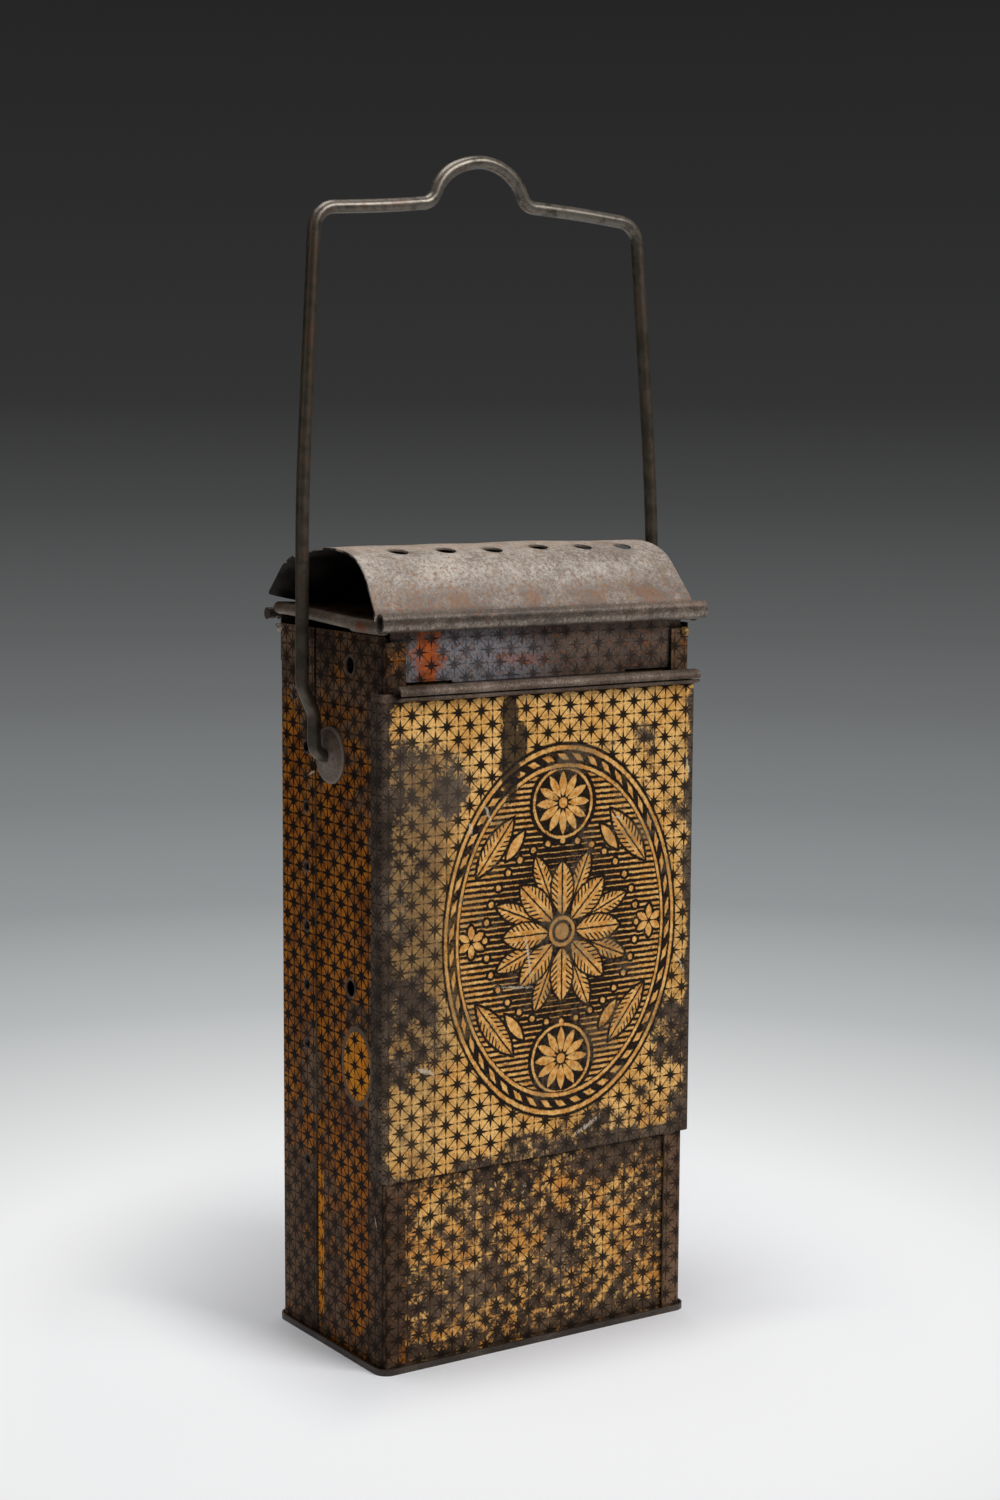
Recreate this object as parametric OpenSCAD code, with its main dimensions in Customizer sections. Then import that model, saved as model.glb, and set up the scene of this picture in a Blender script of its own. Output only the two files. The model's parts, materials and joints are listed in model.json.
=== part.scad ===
// Pocket lantern: a flat tin case with a sliding front, a hinged lid with a
// draught hood, a wire bail and an oil fount with a flat wick inside.
// X is the width, Y the depth (front at -Y), Z is up, origin under the middle
// of the base. All sizes in millimetres.

/* [Case] */
// Width of the case over the rear shell
case_w = 66.6; // [60:0.2:76]
// Depth of the case, front flanges to rear wall
case_d = 37; // [33:0.5:46]
// Height of the case walls
case_h = 131.6; // [122:0.2:150]
// Thickness of the tin sheet
sheet = 0.35; // [0.3:0.01:0.4]
// Width of the front flanges
flange_w = 4.3; // [3.8:0.1:6]
// Distance of the lap seam from the middle of the side, towards the rear
seam_y = 5.4; // [5:0.1:7]
// Width of the overlap at the lap seams
lap_w = 6; // [5:0.1:6.5]
// Setback of the front panel behind the flange faces
setback = 0.8; // [0.75:0.01:1]

/* [Base tray] */
// How far the tray stands out past the case
tray_lip = 0.75; // [0.7:0.05:1.2]
// Height of the tray rim
tray_h = 1.15; // [1:0.05:2]

/* [Side holes] */
// Diameter of the small air holes
air_d = 1.9; // [1.2:0.1:2.6]
// Height of the lowest air hole
air_z = 33; // [26:0.5:36]
// Distance of the top air hole below the rim
air_drop = 10.8; // [8:0.1:16]
// Diameter of the two large side holes
port_d = 3; // [2:0.1:4]
// Distance of the upper large hole below the rim
port_drop = 5.8; // [5:0.1:9]
// Height of the lower large hole
port_z_low = 68; // [55:0.5:78]

/* [Sliding front] */
// Height of the picture panel, bottom edge to bead
cover_h = 87.9; // [80:0.1:90]
// Diameter of the rolled bead on the panel
bead_d = 2.7; // [2.4:0.1:3.2]
// Height of the tongue above the bead
tongue_h = 7.7; // [6:0.1:9]
// Depth of the returns that grip the sides of the case
return_w = 3.3; // [2.4:0.1:4.2]
// Width of the neck between the two slits
neck_w = 37.4; // [30:0.2:44]

/* [Lid] */
// Height of the hood crown above the lid plate
hood_h = 11.9; // [11:0.1:13.6]
// Length of the hood
hood_w = 68; // [66:0.2:68.4]
// Diameter of the hood vent holes
vent_d = 3.7; // [2:0.1:4.4]
// Pitch of the hood vent holes
vent_pitch = 9.9; // [8:0.1:11]
// Diameter of the rolled edges at the sides of the lid
roll_d = 2.2; // [2:0.1:2.4]

/* [Bail] */
// Diameter of the bail wire
wire_d = 2.4; // [2:0.1:2.8]
// Height of the bail above its pivots
bail_h = 106.5; // [98:0.1:125]
// Half width of the bail at its widest
bail_x = 38.2; // [37.8:0.1:42]
// Distance of the pivots below the rim of the case
pivot_drop = 22.4; // [19:0.1:27]
// Diameter of the pivot discs
disc_d = 10.3; // [8:0.1:10.4]

/* [Oil fount] */
// Width of the fount
fount_w = 50; // [44:0.5:52]
// Depth of the fount
fount_d = 25; // [20:0.5:26]
// Height of the fount
fount_h = 64; // [54:0.5:66]
// Width of the flat wick
wick_w = 9.5; // [6:0.5:12]

/* [Hidden] */
$fn = 40;
eps = 0.01;
gap = 0.3;

// Case faces
xr = case_w / 2;
xs = xr - sheet;
xi = xs - sheet;
yf = -case_d / 2;
yb = case_d / 2;
corner_r = 1.1;
flange_x = xs - flange_w;
flange_top = case_h - 1;
panel_y = yf + setback;
pivot_z = case_h - pivot_drop;
disc_r = disc_d / 2;
disc_rise = 1.3;
wire_r = wire_d / 2;
pivot_play = 0.05;
panel_r = 0.7;
tray_r = 2.6;

// Drops of solder: rear corner, front flange and the feet of the rear wall
solder_r = 0.95;
solder_low = 0.7;
flange_solder_r = 0.9;
foot_solder_r = 1.2;

// Side holes
air_y = seam_y + lap_w / 2 + 0.1;
air_steps = 8;
air_pitch = (case_h - air_drop - air_z) / air_steps;
port_y = yf + 11.9;
port_z_high = case_h - port_drop;

// Window, held in a folded frame behind the slide
frame_y = panel_y + sheet + 0.25;
pane_t = 0.3;
pane_play = 0.3;
frame_t = 0.3;
frame_rim = 0.4;
frame_edge = 3.2;
frame_top = case_h - frame_rim;
frame_lap = 5.6;
front_fold = 7;
reflector_r = 42;
reflector_in = 5.5;
reflector_low = 4;

// Sliding front
cover_back = yf - 0.25;
cover_y = cover_back - sheet;
cover_x = xr + 0.7;
cover_r = 0.9;
bead_r = bead_d / 2;
bead_y = cover_back - bead_r;
slit_h = 0.35;
tongue_top = case_h - frame_rim;
wing_z = tongue_top - tongue_h;
bead_top = wing_z - slit_h;
bead_z = bead_top - bead_r;
cover_z = bead_top - cover_h;
bead_left = 2.7;
bead_right = 0.7;
bead_slot = 0.4;
bead_slot_angle = 200;
wing_x = xi - 1.3;
travel = cover_z - tray_h - gap;
panel_top = bead_top - sheet - travel - gap;
frame_z = panel_top - frame_lap;

// Lid
roll_r = roll_d / 2;
lid_top = case_h + 0.65 + roll_d;
roll_x = xr + 0.1;
roll_z = lid_top - roll_r;
lid_bead_r = 1.2;
lid_bead_fall = 1;
lid_bead_y = yf - 1.6;
lid_bead_z = lid_top + 0.15;
lid_bead_x = xr + 1.5;
lid_front = lid_bead_y + lid_bead_r;
sleeve_r = roll_r + sheet;
sleeve_len = 9.5;

// Hinge
pin_r = 0.75;
head_r = 1.1;
pin_play = 0.05;
knuckle_r = pin_r + pin_play + sheet;
hinge_y = yb + knuckle_r;
hinge_z = lid_top - knuckle_r;
hinge_w = 2 * xr - 1.2;
knuckle_step = hinge_w / 5;
leaf_drop = 7;
leaf_top = case_h - 0.9;

// Chimney opening in the lid
chimney_w = 34;
chimney_d = 14;
chimney_r = 5;
chimney_h = 3.2;

// Oil fount
fount_z = sheet;
fount_r = 4;
fount_t = 0.4;
fount_rim = 1.6;
deck_t = 0.5;
deck_rise = 0.4;
fount_top_z = fount_z + fount_h;
deck_z = fount_top_z + deck_rise + deck_t;
burner_x = -6;
filler_x = 16;
filler_r = 4;
filler_h = 2.5;
filler_wall = 0.8;
neck_foot = 0.4;
cap_h = 3;
cap_r = filler_r + 1.2;
cap_lift = 0.7;
bevel = 0.6;
collar_h = 4;
collar_r = 6.9;
collar_wall = 0.9;
collar_foot = 0.5;
crown_lift = 0.9;
crown_wall = 0.9;
crown_t = 0.6;
dome_h = 1.6;
tube_h = 18;
tube_wall = 0.6;
tube_z = fount_top_z + 1.2;
wick_t = 1.8;
wick_low = 6;
wick_out = 1.2;
clip_z = 8;
clip_w = 9;
clip_foot = 7;
clip_flat = 4;

// Small helpers

// A rectangle with four round corners.
module round_rect(w, d, r) {
    square([w - 2 * r, d], center = true);
    square([w, d - 2 * r], center = true);
    for (x = [-1, 1], y = [-1, 1])
        translate([x * (w / 2 - r), y * (d / 2 - r)])
            circle(r = r);
}

// A thin wall that follows a rectangle with round corners.
module round_ring(w, d, r, t) {
    difference() {
        round_rect(w, d, r);
        round_rect(w - 2 * t, d - 2 * t, max(r - t, 0.1));
    }
}

// A path is a list of steps: [0, length] goes straight on, [1, radius, angle]
// turns, to the left when the angle is positive.
function turn_centre(p, h, s) = p + s[1] * [cos(h + 90 * sign(s[2])), sin(h + 90 * sign(s[2]))];
function step_end(p, h, s) =
    s[0] == 0 ? p + s[1] * [cos(h), sin(h)]
    : turn_centre(p, h, s) - s[1] * [cos(h + s[2] + 90 * sign(s[2])), sin(h + s[2] + 90 * sign(s[2]))];
function step_heading(h, s) = s[0] == 0 ? h : h + s[2];
function path_end(path, p, h, i = 0) =
    i >= len(path) ? p
    : path_end(path, step_end(p, h, path[i]), step_heading(h, path[i]), i + 1);

// A pie slice wide enough to cut an arc out of a ring.
module wedge(r, a0, a) {
    n = max(1, ceil(abs(a) / 50));
    polygon(concat([[0, 0]], [for (i = [0:n]) 2 * r * [cos(a0 + a * i / n), sin(a0 + a * i / n)]]));
}

// Bent sheet seen from its edge, with its middle on the path.
module strip(path, t, p, h, i = 0) {
    if (i < len(path)) {
        s = path[i];
        if (s[0] == 0) {
            translate(p)
                rotate(h)
                    translate([-eps, -t / 2])
                        square([s[1] + 2 * eps, t]);
        } else {
            c = turn_centre(p, h, s);
            a0 = h - 90 * sign(s[2]);
            translate(c)
                intersection() {
                    difference() {
                        circle(r = s[1] + t / 2, $fn = 72);
                        circle(r = s[1] - t / 2, $fn = 72);
                    }
                    wedge(s[1] + t, a0, s[2]);
                }
        }
        strip(path, t, step_end(p, h, s), step_heading(h, s), i + 1);
    }
}

// Sharply folded sheet seen from its edge, with its middle on the points.
function unit(v) = v / norm(v);
function side_of(v) = [-v[1], v[0]];
function leg(pts, i) = unit(pts[min(max(i, 0), len(pts) - 2) + 1] - pts[min(max(i, 0), len(pts) - 2)]);
function mitre(pts, i, d) =
    pts[i] + unit(side_of(leg(pts, i - 1) + leg(pts, i))) * d
        / (unit(side_of(leg(pts, i - 1) + leg(pts, i))) * side_of(leg(pts, i)));
module folded(pts, t) {
    n = len(pts) - 1;
    polygon(concat([for (i = [0:n]) mitre(pts, i, t / 2)], [for (i = [0:n]) mitre(pts, n - i, -t / 2)]));
}

// Bent wire in the XZ plane, with its middle on the path. Each step stops a
// hair short of the next, and a short sleeve of nearly the same size joins them.
short = 0.04;
module wire_sleeve(p, h, r) {
    translate([p[0], 0, p[1]])
        rotate([0, 90 - h, 0])
            cylinder(h = 0.3, r = r + 0.015, center = true, $fn = 28);
}

module wire(path, r, p, h, i = 0) {
    if (i < len(path)) {
        s = path[i];
        if (s[0] == 0) {
            first = i == 0 ? 0 : short;
            translate([p[0], 0, p[1]])
                rotate([0, 90 - h, 0])
                    translate([0, 0, first])
                        cylinder(h = s[1] - first - short, r = r, $fn = 28);
        } else {
            c = turn_centre(p, h, s);
            cut = short / s[1] * 57.3;
            a0 = h - 90 * sign(s[2]) + min(s[2], 0) + cut;
            translate([c[0], 0, c[1]])
                rotate([90, 0, 0])
                    rotate([0, 0, a0])
                        rotate_extrude(angle = abs(s[2]) - 2 * cut, $fn = 72)
                            translate([s[1], 0])
                                circle(r = r, $fn = 28);
        }
        q = step_end(p, h, s);
        g = step_heading(h, s);
        if (i < len(path) - 1)
            wire_sleeve(q, g, r);
        wire(path, r, q, g, i + 1);
    }
}

// Turns a profile drawn in Y and Z into a bar that runs from x0 to x1.
module along_x(x0, x1) {
    translate([x0, 0, 0])
        rotate([90, 0, 90])
            linear_extrude(height = x1 - x0)
                children();
}

// Turns a profile drawn in X and Z into a bar that runs from y0 to y1.
module along_y(y0, y1) {
    translate([0, y1, 0])
        rotate([90, 0, 0])
            linear_extrude(height = y1 - y0)
                children();
}

module both_sides() {
    children();
    mirror([1, 0, 0])
        children();
}

// Holes through both side walls
module side_holes() {
    for (i = [0:air_steps])
        if (i != 1)
            translate([-case_w, air_y, air_z + i * air_pitch])
                rotate([0, 90, 0])
                    cylinder(h = 2 * case_w, d = air_d, $fn = 24);
    for (z = [port_z_low, port_z_high])
        translate([-case_w, port_y, z])
            rotate([0, 90, 0])
                cylinder(h = 2 * case_w, d = port_d, $fn = 28);
    translate([-case_w, 0, pivot_z])
        rotate([0, 90, 0])
            cylinder(h = 2 * case_w, r = wire_r + pivot_play, $fn = 28);
}

// Case

module rear_shell() {
    color("peru")
        difference() {
            translate([0, 0, sheet])
                linear_extrude(height = case_h - sheet)
                    intersection() {
                        round_ring(2 * xr, case_d, corner_r + sheet, sheet);
                        translate([-case_w, seam_y])
                            square([2 * case_w, case_d]);
                    }
            side_holes();
        }
}

module side_panel() {
    difference() {
        translate([0, 0, sheet])
            linear_extrude(height = case_h - sheet)
                intersection() {
                    round_ring(2 * xs, case_d, corner_r, sheet);
                    translate([flange_x, yf - 1])
                        square([flange_w + 1, seam_y + lap_w - yf + 1]);
                }
        side_holes();
        translate([flange_x - 1, yf - 1, flange_top])
            cube([xi - flange_x + 1, 1 + 2 * sheet, 10]);
    }
}

module side_panel_right() {
    color("darkgoldenrod")
        side_panel();
}

module side_panel_left() {
    color("darkgoldenrod")
        mirror([1, 0, 0])
            side_panel();
}

module front_panel() {
    color("goldenrod")
        difference() {
            translate([0, 0, sheet])
                linear_extrude(height = panel_top - sheet)
                    intersection() {
                        translate([0, panel_y + case_d / 2])
                            round_ring(2 * xi, case_d, panel_r, sheet);
                        translate([-case_w, panel_y - 1])
                            square([2 * case_w, front_fold + 1]);
                    }
            translate([-case_w, panel_y + sheet, frame_z - gap])
                cube([2 * case_w, front_fold, 20]);
        }
}

module base_tray() {
    w = 2 * (xr + tray_lip);
    d = case_d + 2 * tray_lip;
    color("dimgray")
        difference() {
            linear_extrude(height = tray_h)
                round_rect(w, d, tray_r);
            translate([0, 0, sheet])
                linear_extrude(height = tray_h)
                    round_rect(w - 2 * sheet, d - 2 * sheet, tray_r - sheet);
        }
}

// Window

module window_frame() {
    depth = pane_t + 2 * frame_t;
    h = frame_top - frame_z;
    color("silver")
        difference() {
            translate([-xi, frame_y, frame_z])
                cube([2 * xi, depth, h]);
            translate([-xi + frame_t, frame_y + frame_t, frame_z + frame_t])
                cube([2 * (xi - frame_t), pane_t, h]);
            translate([-xi + frame_edge, frame_y - 1, frame_z + frame_edge])
                cube([2 * (xi - frame_edge), depth + 2, h]);
        }
}

module window_pane() {
    color("khaki", 0.45)
        translate([-xi + frame_t, frame_y + frame_t, frame_z + frame_t])
            cube([2 * (xi - frame_t), pane_t, frame_top - frame_z - frame_t - pane_play]);
}

module reflector() {
    r = reflector_r;
    w = 2 * (xi - reflector_in);
    yc = yb - sheet - r;
    color("gainsboro")
        translate([0, 0, frame_z - reflector_low])
            linear_extrude(height = frame_top - frame_z - reflector_low / 2)
                intersection() {
                    translate([0, yc])
                        difference() {
                            circle(r = r, $fn = 120);
                            circle(r = r - sheet, $fn = 120);
                        }
                    translate([-w / 2, 0])
                        square([w, case_d]);
                }
}

// Oil fount

module fount_body() {
    r = fount_r;
    t = fount_t;
    color("darkgray")
        translate([0, 0, fount_z])
            difference() {
                linear_extrude(height = fount_h)
                    round_rect(fount_w, fount_d, r);
                translate([0, 0, t])
                    linear_extrude(height = fount_h)
                        round_rect(fount_w - 2 * t, fount_d - 2 * t, r - t);
            }
}

module fount_top() {
    color("silver")
        translate([0, 0, fount_top_z])
            difference() {
                union() {
                    linear_extrude(height = deck_t)
                        round_rect(fount_w + 2 * fount_t, fount_d + 2 * fount_t, fount_r + fount_t);
                    translate([0, 0, -fount_rim])
                        linear_extrude(height = fount_rim + 0.1)
                            round_ring(fount_w + 2 * fount_t, fount_d + 2 * fount_t, fount_r + fount_t,
                                fount_t);
                    translate([0, 0, deck_rise])
                        linear_extrude(height = deck_t)
                            round_rect(fount_w - fount_r - 1, fount_d - fount_r - 1, 0.6 * fount_r);
                }
                translate([burner_x, 0, -1])
                    cylinder(h = 4, r = collar_r - collar_wall);
                translate([filler_x, 0, -1])
                    cylinder(h = 4, r = filler_r - filler_wall);
            }
}

module fount_clip() {
    off = xi - fount_w / 2 - sheet;
    rise = 1.2 * off;
    bulge = clip_foot + clip_flat + 2 * rise;
    along_y(-clip_w / 2, clip_w / 2)
        translate([xi - sheet / 2, clip_z])
            folded([[0, 0], [0, clip_foot], [-off, clip_foot + rise], [-off, bulge - rise], [0, bulge],
                [0, bulge + clip_foot]], sheet);
}

module fount_clips() {
    color("slategray")
        both_sides()
            fount_clip();
}

module filler_neck() {
    color("goldenrod")
        translate([filler_x, 0, deck_z])
            difference() {
                union() {
                    cylinder(h = neck_foot, r = filler_r + 1);
                    cylinder(h = filler_h, r = filler_r);
                }
                translate([0, 0, -1])
                    cylinder(h = filler_h + 2, r = filler_r - filler_wall);
            }
}

// A ring of small flutes round a cap.
module flutes(n, r, z, h, size) {
    for (i = [0:n - 1])
        rotate(i * 360 / n)
            translate([r, 0, z])
                cylinder(h = h, r = size, $fn = 14);
}

module filler_cap() {
    color("gold")
        translate([filler_x, 0, deck_z + cap_lift])
            difference() {
                union() {
                    cylinder(h = cap_h, r = cap_r, $fn = 48);
                    translate([0, 0, cap_h])
                        cylinder(h = bevel, r1 = cap_r, r2 = cap_r - bevel, $fn = 48);
                }
                translate([0, 0, -1])
                    cylinder(h = filler_h + 0.3, r = filler_r);
                flutes(18, cap_r + 0.25, 0.5, 2 * cap_h, 0.45);
            }
}

module burner_collar() {
    color("goldenrod")
        translate([burner_x, 0, deck_z])
            difference() {
                union() {
                    cylinder(h = collar_foot, r = collar_r + 1.5);
                    cylinder(h = collar_h, r = collar_r);
                }
                translate([0, 0, -1])
                    cylinder(h = 2 * collar_h, r = collar_r - collar_wall);
            }
}

module burner_cap() {
    inner_h = collar_h - crown_lift;
    tube_w = wick_w + 2 * tube_wall;
    tube_d = wick_t + 2 * tube_wall;
    color("gold")
        translate([burner_x, 0, deck_z + crown_lift])
            difference() {
                union() {
                    cylinder(h = inner_h + crown_t, r = collar_r + crown_wall, $fn = 48);
                    translate([0, 0, inner_h + crown_t])
                        cylinder(h = dome_h, r1 = collar_r + 0.5, r2 = wick_w / 2 + 1.6, $fn = 48);
                }
                translate([0, 0, -1])
                    cylinder(h = inner_h + 1, r = collar_r);
                translate([-tube_w / 2, -tube_d / 2, -1])
                    cube([tube_w, tube_d, 12]);
                flutes(24, collar_r + crown_wall + 0.3, 0.5, 2.2, 0.5);
            }
}

module wick_tube() {
    tube_w = wick_w + 2 * tube_wall;
    tube_d = wick_t + 2 * tube_wall;
    color("gold")
        translate([burner_x, 0, tube_z])
            difference() {
                translate([-tube_w / 2, -tube_d / 2, 0])
                    cube([tube_w, tube_d, tube_h]);
                translate([-wick_w / 2, -wick_t / 2, -1])
                    cube([wick_w, wick_t, tube_h + 2]);
            }
}

module wick() {
    wick_z = fount_z + wick_low;
    color("cornsilk")
        translate([burner_x - wick_w / 2, -wick_t / 2, wick_z])
            cube([wick_w, wick_t, tube_z + tube_h + wick_out - wick_z]);
}

// Bail pivots, hinge and solder

module pivot_disc() {
    h = disc_rise;
    rs = (disc_r * disc_r + (h - sheet) * (h - sheet)) / (2 * (h - sheet));
    translate([xs, 0, pivot_z])
        rotate([0, 90, 0])
            difference() {
                intersection() {
                    cylinder(h = h, r = disc_r, $fn = 48);
                    translate([0, 0, h - rs])
                        sphere(r = rs, $fn = 96);
                }
                translate([0, 0, -1])
                    cylinder(h = 4, r = wire_r + pivot_play, $fn = 28);
            }
}

module pivot_discs() {
    color("gray")
        both_sides()
            pivot_disc();
}

// One knuckle of the hinge: a strip that curls round the pin.
module knuckle(x0, x1, bore) {
    along_x(x0, x1)
        translate([hinge_y, hinge_z])
            difference() {
                circle(r = knuckle_r, $fn = 36);
                circle(r = bore, $fn = 36);
            }
}

module case_hinge_leaf() {
    color("slategray") {
        for (i = [-2, 0, 2])
            union() {
                knuckle((i - 0.5) * knuckle_step, (i + 0.5) * knuckle_step, pin_r);
                translate([(i - 0.5) * knuckle_step, yb, case_h - 1])
                    cube([knuckle_step, sheet, hinge_z - case_h + 1]);
            }
        translate([-hinge_w / 2, yb, case_h - leaf_drop])
            cube([hinge_w, sheet, leaf_top - case_h + leaf_drop]);
    }
}

module hinge_pin() {
    half = hinge_w / 2 + 2 * head_r - 0.5;
    color("lightgray") {
        translate([-half, hinge_y, hinge_z])
            rotate([0, 90, 0])
                cylinder(h = 2 * half, r = pin_r, $fn = 28);
        for (x = [-half, half])
            translate([x, hinge_y, hinge_z])
                rotate([0, 90, 0])
                    cylinder(h = 1.4, r = head_r, center = true, $fn = 28);
    }
}

module solder_beads() {
    color("white") {
        difference() {
            translate([-xr + 0.2, yb - solder_r / 2, case_h - solder_low])
                sphere(r = solder_r, $fn = 28);
            translate([-xr, -case_d, 0])
                cube([case_w, case_d + yb, 200]);
            translate([-case_w, yb, 0])
                cube([2 * case_w, 5, 200]);
        }
        difference() {
            translate([xs - 1.4, yf, flange_top - 0.6])
                sphere(r = flange_solder_r, $fn = 28);
            translate([-case_w, yf, 0])
                cube([2 * case_w, case_d, 200]);
        }
        for (x = [-xi + 3, xi - 3])
            difference() {
                translate([x, yb - sheet, sheet])
                    sphere(r = foot_solder_r, $fn = 28);
                translate([-case_w, yb - sheet, -5])
                    cube([2 * case_w, 10, 20]);
                translate([-case_w, 0, -5 + sheet])
                    cube([2 * case_w, case_d, 5]);
            }
    }
}

// Sliding front

module front_cover() {
    color("gold") {
        translate([0, 0, cover_z])
            linear_extrude(height = bead_z - cover_z)
                intersection() {
                    translate([0, cover_y + case_d / 2])
                        round_ring(2 * cover_x, case_d, cover_r, sheet);
                    translate([-case_w, cover_y - 1])
                        square([2 * case_w, return_w + 1]);
                }
        along_x(-cover_x + bead_left, cover_x - bead_right)
            translate([bead_y, bead_z])
                difference() {
                    circle(r = bead_r, $fn = 40);
                    circle(r = bead_r - sheet, $fn = 40);
                    rotate(bead_slot_angle)
                        translate([0, -bead_slot / 2])
                            square([bead_d, bead_slot]);
                }
        along_x(-neck_w / 2, neck_w / 2)
            translate([bead_y, bead_top - sheet])
                square([panel_y + sheet - bead_y, sheet]);
        translate([-neck_w / 2, panel_y, bead_top - sheet])
            cube([neck_w, sheet, wing_z - bead_top + 2 * sheet]);
        translate([-wing_x, panel_y, wing_z])
            cube([2 * wing_x, sheet, tongue_top - wing_z]);
    }
}

// Lid

module lid_plate() {
    y0 = lid_front;
    y1 = yb - gap;
    color("sienna") {
        difference() {
            union() {
                translate([-roll_x, y0, lid_top - sheet])
                    cube([2 * roll_x, y1 - y0, sheet]);
                for (i = [-1, 1])
                    translate([(i - 0.5) * knuckle_step + gap, y1 - 1, lid_top - sheet])
                        cube([knuckle_step - 2 * gap, hinge_y - y1 + 1, sheet]);
            }
            translate([0, 0, lid_top - 2])
                linear_extrude(height = 4)
                    round_rect(chimney_w, chimney_d, chimney_r);
        }
        for (i = [-1, 1])
            knuckle((i - 0.5) * knuckle_step + gap, (i + 0.5) * knuckle_step - gap,
                pin_r + pin_play);
        both_sides()
            along_y(y0, y1)
                translate([roll_x, roll_z])
                    difference() {
                        circle(r = roll_r, $fn = 36);
                        circle(r = roll_r - sheet, $fn = 36);
                    }
    }
}

module chimney_collar() {
    color("rosybrown")
        translate([0, 0, lid_top - sheet])
            linear_extrude(height = chimney_h)
                round_ring(chimney_w, chimney_d, chimney_r, sheet);
}

// A roll pressed a little flat, seen from its end.
module tall_roll(r, fall) {
    circle(r = r, $fn = 40);
    translate([0, -fall])
        circle(r = r, $fn = 40);
    translate([-r, -fall])
        square([2 * r, fall]);
}

module lid_front_bead() {
    color("saddlebrown")
        along_x(-lid_bead_x, lid_bead_x)
            translate([lid_bead_y, lid_bead_z])
                difference() {
                    tall_roll(lid_bead_r, lid_bead_fall);
                    tall_roll(lid_bead_r - sheet, lid_bead_fall);
                }
}

module lid_corner_sleeves() {
    color("chocolate")
        both_sides()
            along_y(lid_front, lid_front + sleeve_len)
                translate([roll_x, roll_z])
                    difference() {
                        circle(r = sleeve_r, $fn = 36);
                        circle(r = roll_r, $fn = 36);
                        translate([-3, roll_r - sheet])
                            square([3, 3]);
                        translate([-1, roll_r])
                            square([4, 3]);
                    }
}

// The hood: one bent sheet from the front bead over to the rear edge.
hood_t = sheet;
hood_shift = -1;
vent_y = -0.21 * case_d;
vent_lean = 8;
hood_y0 = lid_front + 0.05 + hood_t / 2;
front_r = 0.246 * case_d;
crown_r = 0.81 * case_d;
back_r = 0.405 * case_d;
foot_r = 4;
lean = 62;
crest_angle = 13;
back_angle = 10;
fall_angle = 48;
front_rise = 0.4 + foot_r * cos(lean) + front_r * (cos(crest_angle) - cos(lean));
front_leg = (hood_h - hood_t / 2 - front_rise - crown_r * (1 - cos(crest_angle))) / sin(lean);
hood_path = [[0, 0.4], [1, foot_r, lean - 90], [0, front_leg], [1, front_r, crest_angle - lean],
    [0, 0.3], [1, crown_r, -back_angle - crest_angle], [0, 0.08 * case_d],
    [1, back_r, back_angle - fall_angle], [0, case_d / 3]];

module hood() {
    color("lightsteelblue")
        difference() {
            along_x(hood_shift - hood_w / 2, hood_shift + hood_w / 2)
                intersection() {
                    strip(hood_path, hood_t, [hood_y0, lid_top], 90);
                    translate([-case_d, lid_top])
                        square([case_d + yb + 0.1, 40]);
                }
            for (i = [-2.5:1:2.5])
                translate([i * vent_pitch, vent_y, lid_top])
                    rotate([vent_lean, 0, 0])
                        cylinder(h = 40, d = vent_d, $fn = 28);
        }
}

// The bail stands a little to the rear of upright.
bail_lean = 1.3;
foot_x = xi - 1.6;
foot_bend = 2 * wire_r;
ear_x = xs + 3.4;
ear_h = 4.4;
sway_angle = 24;
kink_r = 4;
low_arm = 22;
bow_angle = 2.9;
bow_r = 420;
bail_low = [[0, ear_x - foot_bend - foot_x], [1, foot_bend, 90], [0, ear_h],
    [1, kink_r, -sway_angle],
    [0, (bail_x - ear_x) / sin(sway_angle) - 2 * kink_r * tan(sway_angle / 2) + 1],
    [1, kink_r, sway_angle + 1], [0, low_arm], [1, bow_r, bow_angle]];
arm_angle = 91 + bow_angle;
droop_angle = 6;
bar_angle = 180 - droop_angle;
corner_bend = 4.4;
arch_angle = 64;
arch_r = 8.9;
hollow_r = 3;
bail_bend = [[1, corner_bend, bar_angle - arm_angle]];
bail_arch = [[1, hollow_r, -arch_angle], [1, arch_r, arch_angle + droop_angle]];
low_end = path_end(bail_low, [foot_x, 0], 0);
bend_end = path_end(bail_bend, [0, 0], arm_angle);
arch_end = path_end(bail_arch, [0, 0], bar_angle);
rest_x = -low_end[0] - bend_end[0] - arch_end[0];
rest_z = bail_h - low_end[1] - bend_end[1] - arch_end[1];
bail_det = cos(arm_angle) * sin(bar_angle) - cos(bar_angle) * sin(arm_angle);
arm_len = (rest_x * sin(bar_angle) - cos(bar_angle) * rest_z) / bail_det;
bar_len = (cos(arm_angle) * rest_z - sin(arm_angle) * rest_x) / bail_det;
bail_path = concat(bail_low, [[0, arm_len]], bail_bend, [[0, bar_len]], bail_arch);

module bail_wire() {
    color("dimgray")
        translate([0, 0, pivot_z])
            rotate([-bail_lean, 0, 0]) {
                both_sides()
                    wire(bail_path, wire_r, [foot_x, 0], 0);
                wire_sleeve([0, bail_h], 0, wire_r);
            }
}

rear_shell();
side_panel_left();
side_panel_right();
front_panel();
base_tray();
window_frame();
window_pane();
reflector();
fount_body();
fount_top();
fount_clips();
filler_neck();
filler_cap();
burner_collar();
burner_cap();
wick_tube();
wick();
pivot_discs();
case_hinge_leaf();
hinge_pin();
solder_beads();
front_cover();
lid_plate();
lid_front_bead();
lid_corner_sleeves();
chimney_collar();
hood();
bail_wire();
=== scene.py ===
"""Looks of the pocket lantern: worn printed tin plate, bare tin, steel wire, brass and mica in a soft studio.

Lengths inside materials and pieces are in millimetres; Blender's own units are metres.
"""
import json
import math

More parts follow.
